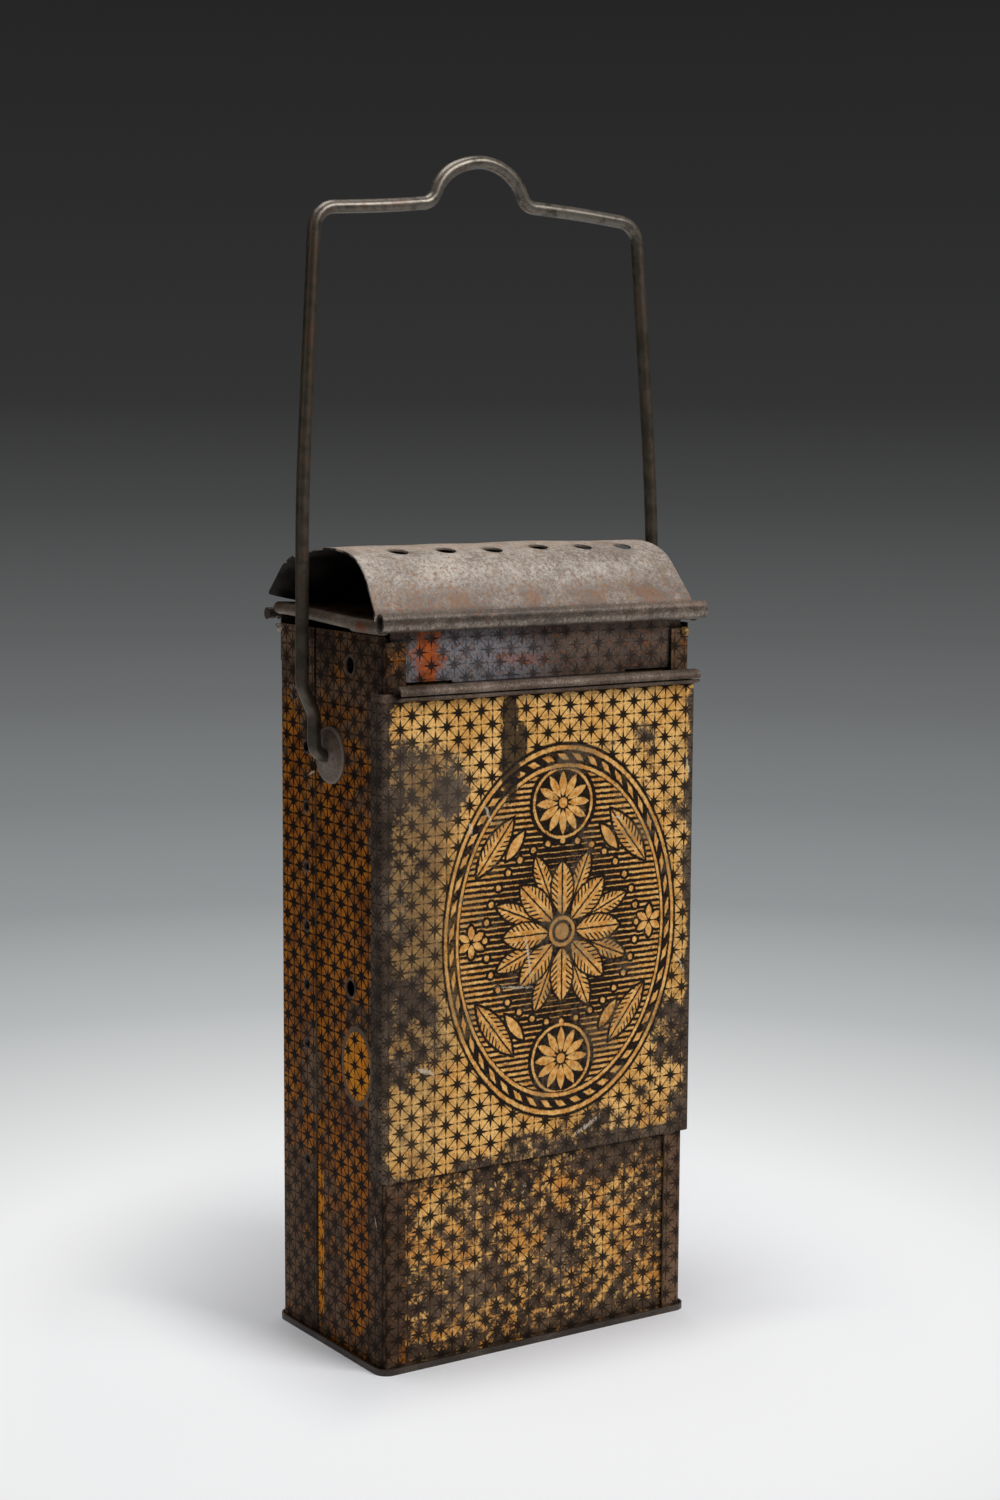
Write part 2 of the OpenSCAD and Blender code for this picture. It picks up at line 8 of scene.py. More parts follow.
import bmesh
import bpy
from mathutils import Matrix, Vector, noise

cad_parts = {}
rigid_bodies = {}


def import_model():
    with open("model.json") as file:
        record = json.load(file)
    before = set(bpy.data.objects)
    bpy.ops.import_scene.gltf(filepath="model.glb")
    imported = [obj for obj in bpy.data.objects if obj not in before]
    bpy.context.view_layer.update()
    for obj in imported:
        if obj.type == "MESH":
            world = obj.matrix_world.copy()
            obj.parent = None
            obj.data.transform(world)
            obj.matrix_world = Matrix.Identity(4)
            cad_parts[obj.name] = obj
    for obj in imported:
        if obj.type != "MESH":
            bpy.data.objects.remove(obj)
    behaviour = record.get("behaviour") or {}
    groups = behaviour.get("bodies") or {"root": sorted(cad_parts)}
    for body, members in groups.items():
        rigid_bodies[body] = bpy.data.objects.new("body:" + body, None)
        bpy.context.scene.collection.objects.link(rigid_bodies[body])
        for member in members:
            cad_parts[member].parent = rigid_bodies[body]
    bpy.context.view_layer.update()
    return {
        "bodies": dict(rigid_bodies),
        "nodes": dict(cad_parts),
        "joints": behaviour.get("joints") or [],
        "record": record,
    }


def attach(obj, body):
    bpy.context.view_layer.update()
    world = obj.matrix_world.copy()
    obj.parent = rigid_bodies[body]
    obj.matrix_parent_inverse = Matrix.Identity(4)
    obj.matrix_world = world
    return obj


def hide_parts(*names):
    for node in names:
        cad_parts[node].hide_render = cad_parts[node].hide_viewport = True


MM = 0.001
LID_BODY = "lid"

# Camera, fitted to the photograph
CAM_PLACE = (-0.26144, -0.39958, 0.16971)
CAM_TURN = 33.51
CAM_DIP = 7.37
CAM_ROLL = 0.32
CAM_LENS = 62.4
SENSOR = 36

# Sizes of the CAD model that the finishes follow
CASE_X = 33.3
CASE_Y = 18.5
CASE_TOP = 131.6
COVER_FACE = -19.1
COVER_LOW = 35.25
BEAD_LOW = 120.45
SEAM_Y = 5.4
AIR_Y, AIR_Z, AIR_PITCH = 8.5, 33, 10.975
PORT_Y, PORTS = -6.6, (68, 125.8)
PIVOT_Z = 109.2
LID_TOP = 134.45
TONGUE_FOLD = 130.6
VENT_PITCH, VENT_Y = 9.9, -9.1
WICK_TOP = 84

# Printed pattern
STAR_PITCH = 4.76
STAR_ROW = STAR_PITCH / math.sqrt(2)
STAR_AT = (0.8, 117.85)
SIDE_SHIFT = (-0.56, 1.69)
OVAL = (4.2, 76.6)
OVAL_HALF = (25.7, 34.6)

# Colours, as seen in plain light, from 0 to 255
YELLOW = (216, 160, 82)
PALE_YELLOW = (242, 194, 120)
DEEP_YELLOW = (192, 124, 46)
ORANGE = (184, 112, 20)
DEEP_ORANGE = (128, 70, 10)
RED_ORANGE = (168, 76, 24)
INK = (20, 12, 7)
COLD_INK = (34, 28, 25)
BROWN_TIN = (92, 76, 61)
GREY_TIN = (118, 102, 86)
DARK_TIN = (54, 43, 35)
RUST = (150, 82, 40)
DEEP_RUST = (78, 36, 14)
CHIP = (214, 202, 184)
SOOT = (22, 19, 17)
BRASS = (186, 146, 78)
OLD_BRASS = (112, 84, 48)
COTTON = (214, 200, 170)
CHAR = (40, 33, 28)
MICA = (226, 200, 148)


def linear(colour):
    """A colour of 0 to 255 as Blender's linear values."""
    return [((v / 255 + 0.055) / 1.055) ** 2.4 if v > 10 else v / 255 / 12.92 for v in colour] + [1.0]


class Num:
    """A number on a node's socket, so that a formula reads as one."""

    def __init__(self, tree, socket):
        self.tree = tree
        self.socket = socket

    def op(self, kind, *others, clamp=False):
        node = self.tree.nodes.new("ShaderNodeMath")
        node.operation = kind
        node.use_clamp = clamp
        for slot, value in zip(node.inputs, (self, *others)):
            plug(self.tree, slot, value)
        return Num(self.tree, node.outputs[0])

    def __add__(self, other):
        return self.op("ADD", other)

    def __radd__(self, other):
        return self.op("ADD", other)

    def __sub__(self, other):
        return self.op("SUBTRACT", other)

    def __rsub__(self, other):
        return self.op("MULTIPLY", -1).op("ADD", other)

    def __mul__(self, other):
        return self.op("MULTIPLY", other)

    def __rmul__(self, other):
        return self.op("MULTIPLY", other)

    def __truediv__(self, other):
        return self.op("DIVIDE", other)

    def __abs__(self):
        return self.op("ABSOLUTE")

    def __neg__(self):
        return self.op("MULTIPLY", -1)

    def most(self, other):
        return self.op("MAXIMUM", other)

    def least(self, other):
        return self.op("MINIMUM", other)

    def over(self, other):
        return self.op("GREATER_THAN", other)

    def clamp(self):
        return self.op("ADD", 0, clamp=True)

    def fold(self, period):
        """Distance to the nearest whole multiple of the period."""
        return self.op("PINGPONG", period / 2)

    def step(self, low, high):
        """Goes smoothly from 0 at low to 1 at high."""
        node = self.tree.nodes.new("ShaderNodeMapRange")
        node.interpolation_type = "SMOOTHSTEP"
        plug(self.tree, node.inputs["Value"], self)
        plug(self.tree, node.inputs["From Min"], low)
        plug(self.tree, node.inputs["From Max"], high)
        return Num(self.tree, node.outputs["Result"])


def plug(tree, slot, value):
    """Links a Num to a socket, or sets the socket's own value."""
    if isinstance(value, Num):
        tree.links.new(value.socket, slot)
    elif isinstance(value, bpy.types.NodeSocket):
        tree.links.new(value, slot)
    else:
        slot.default_value = value


class Finish:
    """One material and its nodes. Places are in millimetres in the row frame at rest."""

    def __init__(self, name):
        self.material = bpy.data.materials.new(name)
        self.material.use_nodes = True
        self.tree = self.material.node_tree
        self.tree.nodes.clear()
        self.shader = self.new("ShaderNodeBsdfPrincipled")
        out = self.new("ShaderNodeOutputMaterial")
        self.tree.links.new(self.shader.outputs[0], out.inputs["Surface"])
        here = self.new("ShaderNodeTexCoord")
        scale = self.new("ShaderNodeVectorMath", operation="SCALE")
        scale.inputs["Scale"].default_value = 1 / MM
        self.tree.links.new(here.outputs["Object"], scale.inputs[0])
        self.place = scale.outputs[0]
        self.x, self.y, self.z = self.split(self.place)
        self.nx, self.ny, self.nz = self.split(here.outputs["Normal"])

    def new(self, kind, **settings):
        node = self.tree.nodes.new(kind)
        for name, value in settings.items():
            setattr(node, name, value)
        return node

    def split(self, vector):
        node = self.new("ShaderNodeSeparateXYZ")
        self.tree.links.new(vector, node.inputs[0])
        return [Num(self.tree, s) for s in node.outputs]

    def join(self, x, y, z):
        node = self.new("ShaderNodeCombineXYZ")
        for slot, value in zip(node.inputs, (x, y, z)):
            plug(self.tree, slot, value)
        return node.outputs[0]

    def noise(self, scale, detail=4.0, rough=0.6, place=None, bend=0.0):
        """Cloudy noise around 0.5. The scale is in cycles per millimetre."""
        node = self.new("ShaderNodeTexNoise")
        self.tree.links.new(place or self.place, node.inputs["Vector"])
        node.inputs["Scale"].default_value = scale
        node.inputs["Detail"].default_value = detail
        node.inputs["Roughness"].default_value = rough
        node.inputs["Distortion"].default_value = bend
        return Num(self.tree, node.outputs["Fac"])

    def cells(self, scale, feature="F1", place=None, output="Distance"):
        node = self.new("ShaderNodeTexVoronoi", feature=feature)
        self.tree.links.new(place or self.place, node.inputs["Vector"])
        node.inputs["Scale"].default_value = scale
        return Num(self.tree, node.outputs[output])

    def mix(self, share, a, b):
        """Colour a where share is 0, colour b where it is 1."""
        node = self.new("ShaderNodeMix", data_type="RGBA")
        plug(self.tree, node.inputs[0], share)
        for slot, value in ((node.inputs[6], a), (node.inputs[7], b)):
            plug(self.tree, slot, linear(value) if isinstance(value, tuple) else value)
        return node.outputs[2]

    def relief(self, height, depth):
        """Bump from a height of 0 to 1 that stands for depth millimetres."""
        node = self.new("ShaderNodeBump")
        node.inputs["Strength"].default_value = 1.0
        node.inputs["Distance"].default_value = depth * MM
        plug(self.tree, node.inputs["Height"], height)
        self.tree.links.new(node.outputs[0], self.shader.inputs["Normal"])

    def finish(self, colour, rough, metal, height=None, depth=0.05, **sockets):
        """Sets the shader's main inputs and hands back the material."""
        plug(self.tree, self.shader.inputs["Base Color"], linear(colour) if isinstance(colour, tuple) else colour)
        plug(self.tree, self.shader.inputs["Roughness"], rough)
        plug(self.tree, self.shader.inputs["Metallic"], metal)
        if height is not None:
            self.relief(height, depth)
        for name, value in sockets.items():
            self.shader.inputs[name.replace("_", " ")].default_value = value
        return self.material


def length(a, b):
    """Length of the vector with these two parts."""
    return (a * a + b * b).op("SQRT")


def near_point(u, v, at, half):
    """1 at the middle of an ellipse round a point, 0 at its rim, below 0 outside."""
    return 1 - length((u - at[0]) / half[0], (v - at[1]) / half[1])


def lattice(u, v):
    """The traditional star lattice. Gives how deep a point lies in the ink, in millimetres: stars, lines, dots."""
    a = ((u - STAR_AT[0] + v - STAR_AT[1]) / STAR_PITCH).fold(1) * STAR_ROW
    b = ((u - STAR_AT[0] - v + STAR_AT[1]) / STAR_PITCH).fold(1) * STAR_ROW
    far = a.most(b)
    near = a.least(b)
    along = (a + b) * 0.7071
    across = (far - near) * 0.7071
    straight_ray = (1 - along / 2.1) * 0.4 - across
    diagonal_ray = (1 - far / 1.4) * 0.4 - near
    core = 0.42 - length(a, b)
    dots = 0.26 - length(a - STAR_ROW / 2, b - STAR_ROW / 2)
    return straight_ray.most(diagonal_ray).most(core), 0.1 - near, dots


def fan(x, z, count, shift=0.0):
    """Folds the plane into equal slices round a point: place across and along a slice's middle, and the radius."""
    turn = (x.op("ARCTAN2", z) / (2 * math.pi) * count + shift).fold(1) * (2 * math.pi / count)
    r = length(x, z)
    return r * turn.op("SINE"), r * turn.op("COSINE"), r


def leaf(x, y, middle, half, wide):
    """How deep a point lies in a pointed leaf that runs along y."""
    r = (half * half + wide * wide) / (2 * wide)
    return r - length(abs(x) + (r - wide), y - middle)


def engraved(shape, x, y, wide, pitch=1.05, lean=0.9):
    """Cuts a vein and slanted strokes out of a leaf, as an engraver shades it."""
    vein = abs(x) - 0.17
    strokes = ((y - abs(x) * lean) / pitch).fold(1) * pitch - 0.2
    return shape.least(vein).least(strokes.most(wide * 0.42 - abs(x)))


def medallion(x, z):
    """A generic oval ornament of leaves and flowers. Gives how far inside the oval a point lies, and the yellow there."""
    cx, cz = x - OVAL[0], z - OVAL[1]
    dx, dz = cx / OVAL_HALF[0], cz / OVAL_HALF[1]
    e = length(dx, dz)
    ax, az = abs(cx), abs(cz)

    # Frame: line, dark band with a twisted cord, line
    outer_line = 0.012 - abs(e - 0.972)
    inner_line = 0.010 - abs(e - 0.878)
    twist = (dx.op("ARCTAN2", dz) * 46 + (e - 0.925) * 62).op("COSINE") - 0.1
    cord = (twist * 0.012).least(0.017 - abs(e - 0.925))
    frame = outer_line.most(inner_line).most(cord) * 30

    # Middle flower: eight broad leaves, eight narrow ones between them, a bead ring
    x1, y1, r = fan(cx, cz, 8)
    broad = leaf(x1, y1, 7.9, 4.9, 2.35)
    x2, y2, _ = fan(cx, cz, 8, 0.5)
    narrow = leaf(x2, y2, 11.2, 4.1, 1.6)
    x3, y3, _ = fan(cx, cz, 32)
    beads = 0.52 - length(x3, y3 - 16.7)
    heart = (0.34 - abs(r - 2.5)).most(1.5 - r)

    # A round flower above and below, a small one at each side
    x4, y4, r4 = fan(cx, az - 23.6, 12)
    daisy = leaf(x4, y4, 3.5, 2.3, 0.78).most(0.9 - r4)
    daisy_ring = 0.26 - abs(r4 - 6.3)
    x5, y5, r5 = fan(ax - 19.6, cz, 6)
    side_flower = leaf(x5, y5, 1.7, 1.3, 0.66)

    # A long leaf in each quarter, and a stem beside it
    lean = math.radians(38)
    qx = (ax - 14.6) * math.cos(lean) + (az - 16.6) * math.sin(lean)
    qy = (az - 16.6) * math.cos(lean) - (ax - 14.6) * math.sin(lean)
    long_leaf = leaf(qx, qy, 0.0, 6.2, 2.0)
    inner_leaf = leaf(qx + 3.4, qy, 2.6, 3.0, 0.95)

    # Fine lines behind it all, denser towards the frame
    density = e.step(0.2, 0.86) * 0.26
    hatch = density - (cz / 1.05).fold(1) * 1.05
    solid = broad.most(narrow).most(beads).most(0.5 - abs(r4 - 6.3)).most(6.0 - r4)
    solid = solid.most(side_flower).most(long_leaf).most(inner_leaf).most(3.2 - r)
    field = hatch.least(0.0 - solid - 0.55).least((0.87 - e) * 20)

    gold = engraved(broad, x1, y1, 2.35).most(engraved(narrow, x2, y2, 1.6).least(0.0 - broad - 0.4))
    gold = gold.most(beads).most(heart).most(daisy).most(daisy_ring).most(side_flower)
    gold = gold.most(engraved(long_leaf, qx, qy, 2.0)).most(inner_leaf).most(field)
    return 1 - e, gold.least((0.86 - e) * 20).most(frame)


def tin_colours(f, base, light, dark, rust, rust_level):
    """Patchy old tin: cloudy tone, fine grain and rust specks. Gives colour and a fine height."""
    cloud = f.noise(0.09, 5, 0.62)
    grain = f.noise(1.6, 4, 0.7)
    fine = f.noise(4.2, 3, 0.7)
    tone = (cloud * 0.55 + grain * 0.45).step(0.36, 0.64)
    colour = f.mix(tone, dark, base)
    colour = f.mix((fine * 0.6 + cloud * 0.4).step(0.5, 0.64), colour, light)
    specks = (f.noise(2.2, 5, 0.72) * 0.6 + f.noise(0.16, 4, 0.6) * 0.4).step(rust_level, rust_level + 0.07)
    colour = f.mix(specks * 0.8, colour, rust)
    pits = f.noise(3.1, 4, 0.7).step(0.64, 0.72)
    colour = f.mix(pits * 0.7, colour, DARK_TIN)
    return colour, grain * 0.5 + fine * 0.5 - pits * 0.4


def outward(f):
    """1 on faces that look away from the middle of the case, 0 on inner faces."""
    return (f.x * f.nx + f.y * f.ny).over(0)


def hole_rims(f):
    """Bare metal round the punched holes of the sides."""
    rows = length(f.y - AIR_Y, (f.z - AIR_Z).fold(AIR_PITCH))
    missing = abs(f.z - AIR_Z - AIR_PITCH).step(AIR_PITCH * 0.4, AIR_PITCH * 0.45)
    small = (1.42 - rows).step(0.0, 0.25) * (f.z - AIR_Z + 4).over(0) * missing
    large = 0
    for z in PORTS:
        large = (2.15 - length(f.y - PORT_Y, f.z - z)).step(0.0, 0.35) + large
    return small.most(large)


def printed_tin(name, paints, wear_at, extra=None, patch=(0.16, 0.055), stain=(88, 70, 52),
                tin=(BROWN_TIN, GREY_TIN, DARK_TIN), inks=(INK, COLD_INK), sheen=0.12):
    """Printed tin plate. wear_at gives the wear's lean and its haze, patch its grain, stain the haze's colour."""
    f = Finish(name)
    on_side = abs(f.nx).over(0.7)
    u = (f.y + SIDE_SHIFT[0]) * on_side + f.x * (1 - on_side)
    v = f.z + on_side * SIDE_SHIFT[1]
    wobble = (f.noise(0.5, 3, 0.5) - 0.5) * 0.25
    blur = f.noise(2.8, 4, 0.7) - 0.5
    stars, lines, dots = lattice(u + wobble, v + wobble)
    stars_ink = (stars + on_side * 0.08 + blur * 0.22).step(-0.05, 0.06)
    lines_ink = (lines + on_side * 0.07 + blur * 0.16).step(-0.06, 0.05)
    dots_ink = (dots + blur * 0.14).step(-0.05, 0.06)

    # Old tin under the print
    worn, fine = tin_colours(f, *tin, RUST, 0.6)

    # The print goes first as a dull film, then in chips with gritty borders
    broad = f.noise(patch[1], 4, 0.6)
    middle = f.noise(patch[0], 5, 0.7)
    grit = f.noise(1.3, 6, 0.78)
    lean, haze = wear_at(f)
    amount = (broad - 0.5) * 0.8 + (middle - 0.5) * 1.6 + lean * 0.25
    film = (amount + (grit - 0.5) * 0.6).step(-0.16, 0.1)
    film = film.most((haze + (middle - 0.5) * 1.6 + (grit - 0.5) * 1.4).step(0.1, 0.9))
    chips = (amount + (grit - 0.5) * 1.3).step(0.0, 0.06)

    mottle = f.noise(1.1, 5, 0.7)
    tone = (mottle * 0.6 + f.noise(0.12, 4, 0.6) * 0.4).step(0.42, 0.58)
    paint = f.mix(tone, paints[0], paints[1])
    paint = f.mix(f.noise(0.3, 5, 0.7).step(0.5, 0.72) * 0.6, paint, paints[2])
    paint = f.mix(f.noise(2.4, 5, 0.75).step(0.52, 0.62) * 0.55, paint, DEEP_RUST)
    paint = f.mix(f.noise(1.7, 5, 0.75).step(0.56, 0.64) * 0.5, paint, stain)
    ink = f.mix(film, *inks)
    colour = f.mix(film * 0.74, paint, f.mix(0.6, stain, worn))
    colour = f.mix(chips, colour, worn)
    gone = chips.most(film * 0.6)
    colour = f.mix(dots_ink * (0.9 - gone * 0.6), colour, DEEP_RUST)
    colour = f.mix(lines_ink * (0.86 - gone * 0.36), colour, f.mix(film * 0.6 + 0.4, DEEP_RUST, inks[1]))
    colour = f.mix(stars_ink * (0.98 - gone * 0.24), colour, ink)
    fleck = (f.noise(0.9, 6, 0.8) * 0.55 + f.noise(0.07, 3, 0.5) * 0.45).step(0.63, 0.65)
    colour = f.mix(fleck * 0.4, colour, CHIP)
    gloss = 0.48 + gone * 0.1 + mottle * 0.12
    metal = gone * 0.2
    if extra:
        colour, gone, metal = extra(f, colour, gone, metal, worn)

    # Inner faces are bare tin under soot
    inner, _ = tin_colours(f, (104, 98, 90), (138, 130, 120), (58, 52, 47), RUST, 0.62)
    sooty = (f.noise(0.08, 4, 0.6) + (f.z - 95) / 90).step(0.35, 0.95)
    inner = f.mix(sooty * 0.85, inner, SOOT)
    out = outward(f)
    colour = f.mix(out, inner, colour)
    dents = f.noise(0.045, 2, 0.4)
    height = dents * 4.0 + fine * 0.32 * gone + (1 - chips) * 0.22 + broad * 0.4
    return f.finish(colour, gloss, metal, height, 0.05, Specular_IOR_Level=sheen)


def blotch(f, u, v, at, half, ragged=0.9):
    """1 inside a ragged ellipse round a point, 0 outside."""
    rough = f.noise(0.35, 6, 0.75) - 0.5
    return (near_point(u, v, at, half) + rough * ragged * 2).step(-0.15, 0.3)


def nicks(f, colour, u, v, places, tint=CHIP):
    """Broken bright scratches at (u, v, lean, half length, half width)."""
    broken = f.noise(2.0, 5, 0.8) - 0.5
    for at_u, at_v, lean, long, wide in places:
        du = (u - at_u) * math.cos(lean) + (v - at_v) * math.sin(lean)
        dv = (v - at_v) * math.cos(lean) - (u - at_u) * math.sin(lean)
        mark = (near_point(dv + broken * 1.2, du, (0, 0), (long, wide * 0.6)) + broken * 4.0).step(0.1, 0.6)
        colour = f.mix(mark * 0.6, colour, tint)
    return colour


def side_wear(f):
    """Top band, front strip, seam and foot of the sides are worn most."""
    face = f.ny.op("LESS_THAN", -0.7)
    top = f.z.step(94, 130)
    foot = f.z.step(48, 20)
    front = f.y.step(-12.0, -16)
    corner = abs(f.y).step(16.8, 18.4)
    kept = near_point(f.y, f.z, (2, 80), (26, 38)).step(0.0, 0.8)
    kept = kept.most(near_point(f.y, f.z, (15, 106), (6, 18)).step(-0.2, 0.5) * 0.7)
    back = (f.y - SEAM_Y).step(0, 0.3) * f.z.step(48, 28) * abs(f.nx).over(0.7)
    patch = near_point(f.y, f.z, (7.0, 52), (5.5, 11)).step(-0.1, 0.6)
    patch = patch.most(near_point(f.y, f.z, (-9, 63), (5, 4)).step(-0.1, 0.6))
    rest = near_point(f.y, f.z, (-8.5, 25), (5.0, 24)).step(-0.1, 0.5)
    lean = (top * 1.0 + foot * 0.8 + front * 1.1 + corner * 0.3 + back * 0.5 + patch * 1.4
            - kept * 0.7 - rest * 1.3 - 0.6)
    lean = lean * (1 - face) + face * 0.8
    return lean, f.z.step(98, 124) * 0.5 + foot * 0.15


def side_marks(f, colour, gone, metal, worn):
    """Marks of the left side: rims of holes, the ring scratch, the bright strip at the seam, small nicks."""
    left = f.x.op("LESS_THAN", 0)
    rims = hole_rims(f)
    colour = f.mix(rims * 0.6, colour, f.mix(f.noise(2.0, 3, 0.6), DARK_TIN, (124, 112, 104)))

    ring_r = length((f.y + 8.9) / 4.75, (f.z - 54.3) / 6.4)
    inside = ring_r.step(1.0, 0.94) * left
    bright = f.mix(f.noise(0.9, 4, 0.6).step(0.3, 0.7), ORANGE, (226, 146, 30))
    stars, lines, dots = lattice(f.y + SIDE_SHIFT[0], f.z + SIDE_SHIFT[1])
    bright = f.mix(stars.most(lines).step(-0.06, 0.06), bright, INK)
    bright = f.mix(dots.step(-0.06, 0.08) * 0.8, bright, DEEP_RUST)
    colour = f.mix(inside, colour, bright)
    band = (1 - abs(ring_r - 1.06) / 0.1).step(0.0, 0.4) * left
    colour = f.mix(band * 0.85, colour, f.mix(f.noise(1.5, 3, 0.6), BROWN_TIN, GREY_TIN))

    strip = (f.y - 3.1).step(0, 0.2) * (5.35 - f.y).step(0, 0.15) * f.z.step(3, 6) * f.z.step(36, 31) * left
    strip = strip * (f.noise(0.7, 5, 0.75) - f.noise(0.1, 2, 0.5) * 0.2).step(0.3, 0.4)
    golden = f.mix(stars.most(lines).step(-0.06, 0.06) * 0.9, (214, 134, 26), INK)
    colour = f.mix(strip, colour, golden)

    scratched = nicks(f, colour, f.y, f.z, ((-16.7, 48.6, 0.35, 2.4, 0.5), (-15.4, 27.3, -0.3, 1.3, 0.4),
                                            (6.4, 105.3, 1.2, 2.2, 0.4)))
    colour = f.mix(left, colour, scratched)
    seam = (0.3 - abs(f.y - SEAM_Y + 0.1)).step(0.0, 0.2) * (0.05 + f.z.step(39, 34) * 0.8)
    colour = f.mix(seam, colour, SOOT)
    return colour, gone, metal


def cover_wear(f):
    """Left edge, the rims and some scuffed zones of the picture panel."""
    left = f.x.step(-21, -32) * f.z.step(46, 60)
    edge = abs(f.x).step(31.4, 33.4)
    foot = f.z.step(38.5, 35.8) + f.z.step(43.5, 39) * f.x.step(-6, 4) * 0.9
    lean = left * 0.75 + edge * 1.7 + foot * 1.1
    zones = (((-18.5, 104), (5, 6.5), 1.4), ((-26, 106), (8, 15), 0.55), ((-27, 86), (6, 12), 0.7), ((-27, 61), (9, 12), 1.0),
             ((30, 55), (8, 8), 1.5), ((33, 86), (4, 7), 1.0), ((22.4, 110), (4, 4), 1.2),
             ((14, 110.6), (2.5, 2.5), 1.0), ((-24, 44), (3, 3), 0.7), ((-4, 38), (6, 2.5), 0.8),
             ((27, 45), (9, 6), 1.0), ((31, 99), (5, 6), 0.8), ((31, 72), (5, 6), 0.6), ((10, 42), (12, 3), 0.5))
    for at, half, weight in zones:
        lean = lean + near_point(f.x, f.z, at, half).step(-0.25, 0.6) * weight
    haze = f.x.step(-12, -27) * (0.35 + f.z.step(44, 64) * 0.6) * f.z.step(118, 108) + f.x.step(24, 34) * 0.35 + f.z.step(60, 36) * 0.1
    return lean - 1.15, haze


def cover_picture(f, colour, gone, metal, worn):
    """The oval ornament, and above the bead the bluish tin of the tongue with rests of print."""
    shake = (f.noise(0.8, 3, 0.6) - 0.5) * 0.25
    inside, gold = medallion(f.x + shake, f.z + shake)
    blur = (f.noise(2.6, 4, 0.75) - 0.5) * 0.5
    face = f.ny.op("LESS_THAN", -0.7)
    dark_field = f.mix(f.noise(1.3, 5, 0.7).step(0.4, 0.72), INK, (48, 33, 20))
    line = f.mix(f.noise(0.9, 4, 0.65).step(0.3, 0.72), DEEP_YELLOW, PALE_YELLOW)
    lost = (f.noise(0.33, 5, 0.7) * 0.5 + f.noise(2.1, 4, 0.7) * 0.5).step(0.55, 0.63)
    picture = f.mix((gold + blur).step(-0.08, 0.1) * (1 - lost * 0.7), dark_field, line)
    smear = (f.noise(0.09, 5, 0.65) * 0.6 + f.noise(0.9, 6, 0.8) * 0.4).step(0.53, 0.6)
    picture = f.mix(smear * 0.6, picture, f.mix(0.6, (84, 68, 50), worn))
    oval = inside.step(0.0, 0.006) * face
    pale = near_point(f.x, f.z, (-22, 106), (10, 13)).step(-0.1, 0.5) * gone
    colour = f.mix(pale * 0.2, colour, (118, 105, 90))
    colour = f.mix(oval * (1 - gone * 0.55), colour, picture)
    edge = (0.0085 - abs(inside - 0.002)).step(0.0, 0.006) * face
    colour = f.mix(edge * 0.9, colour, INK)

    # Two dark streaks at the top, broken scratches here and there
    ragged = (f.noise(0.5, 6, 0.75) - 0.5) * 1.9
    streak = (near_point(f.x, f.z, (-7.4, 111.0), (2.2, 11.5)) + ragged * 0.8).step(0.0, 0.15)
    streak = streak.most((near_point(f.x, f.z, (-5.0, 112.0), (1.6, 4)) + ragged * 0.8).step(0.0, 0.2))
    streak = streak * f.z.op("LESS_THAN", BEAD_LOW)
    colour = f.mix(streak * 0.92, colour, f.mix(f.noise(1.4, 5, 0.7).step(0.45, 0.7), (28, 22, 17), (60, 50, 41)))
    colour = nicks(f, colour, f.x, f.z, ((-3.2, 73, 0.15, 4.5, 0.6), (-12, 99.5, 0.4, 2.2, 0.6), (-15.6, 97, 0.2, 1.6, 0.6),
                                         (10, 39.4, -1.1, 3.4, 0.9), (-25, 54.5, 1.2, 2.2, 0.9), (16.5, 96.5, 1.4, 1.6, 0.4),
                                         (32.4, 105, 0.2, 2.2, 0.5), (31.2, 68, 0.4, 2.6, 0.5), (-6, 67.4, 1.45, 4.2, 0.5)))

    tongue = f.z.step(BEAD_LOW - 0.2, BEAD_LOW + 0.2)
    base, _ = tin_colours(f, (95, 82, 73), (124, 110, 99), (66, 55, 47), RUST, 0.575)
    patchy = f.noise(0.45, 5, 0.7)
    blue = near_point(f.x, f.z, (-15, 126), (17, 8)).step(-0.3, 0.5) * patchy.step(0.36, 0.5)
    base = f.mix(blue * 0.85, base, f.mix(f.noise(1.8, 4, 0.7).step(0.35, 0.6), (92, 92, 98), (142, 142, 148)))
    stained = f.noise(1.3, 5, 0.75).step(0.53, 0.6)
    base = f.mix(stained * 0.6, base, (150, 92, 52))
    rest = blotch(f, f.x, f.z, (-23.6, 127.0), (2.8, 6), 1.5) * 0.92
    rest = rest.most(blotch(f, f.x, f.z, (-5, 126.4), (6, 1.2), 2.2) * 0.25)
    orange = f.mix(f.noise(1.1, 4, 0.7).step(0.35, 0.65), (136, 62, 22), (192, 94, 28))
    base = f.mix(rest, base, orange)
    stars, lines, _ = lattice(f.x, f.z + 1.2)
    trace = (stars - 0.04 + blur * 0.6).step(-0.06, 0.08).most((lines + blur * 0.3).step(-0.05, 0.05) * 0.5)
    base = f.mix(trace * ((0.45 + patchy.step(0.4, 0.6) * 0.35) * (1 - rest) + rest), base, (34, 30, 30))
    bead = (1.75 - length(f.y + 20.1, f.z - 121.8)).step(-0.1, 0.1)
    rolled, _ = tin_colours(f, (112, 97, 86), (160, 143, 128), (66, 54, 46), RUST, 0.6)
    colour = f.mix(tongue.most(bead), colour, base)
    colour = f.mix(bead, colour, rolled)
    bare = tongue.most(bead)
    return colour, gone.most(bare * 0.9), metal.most(bare * 0.3)


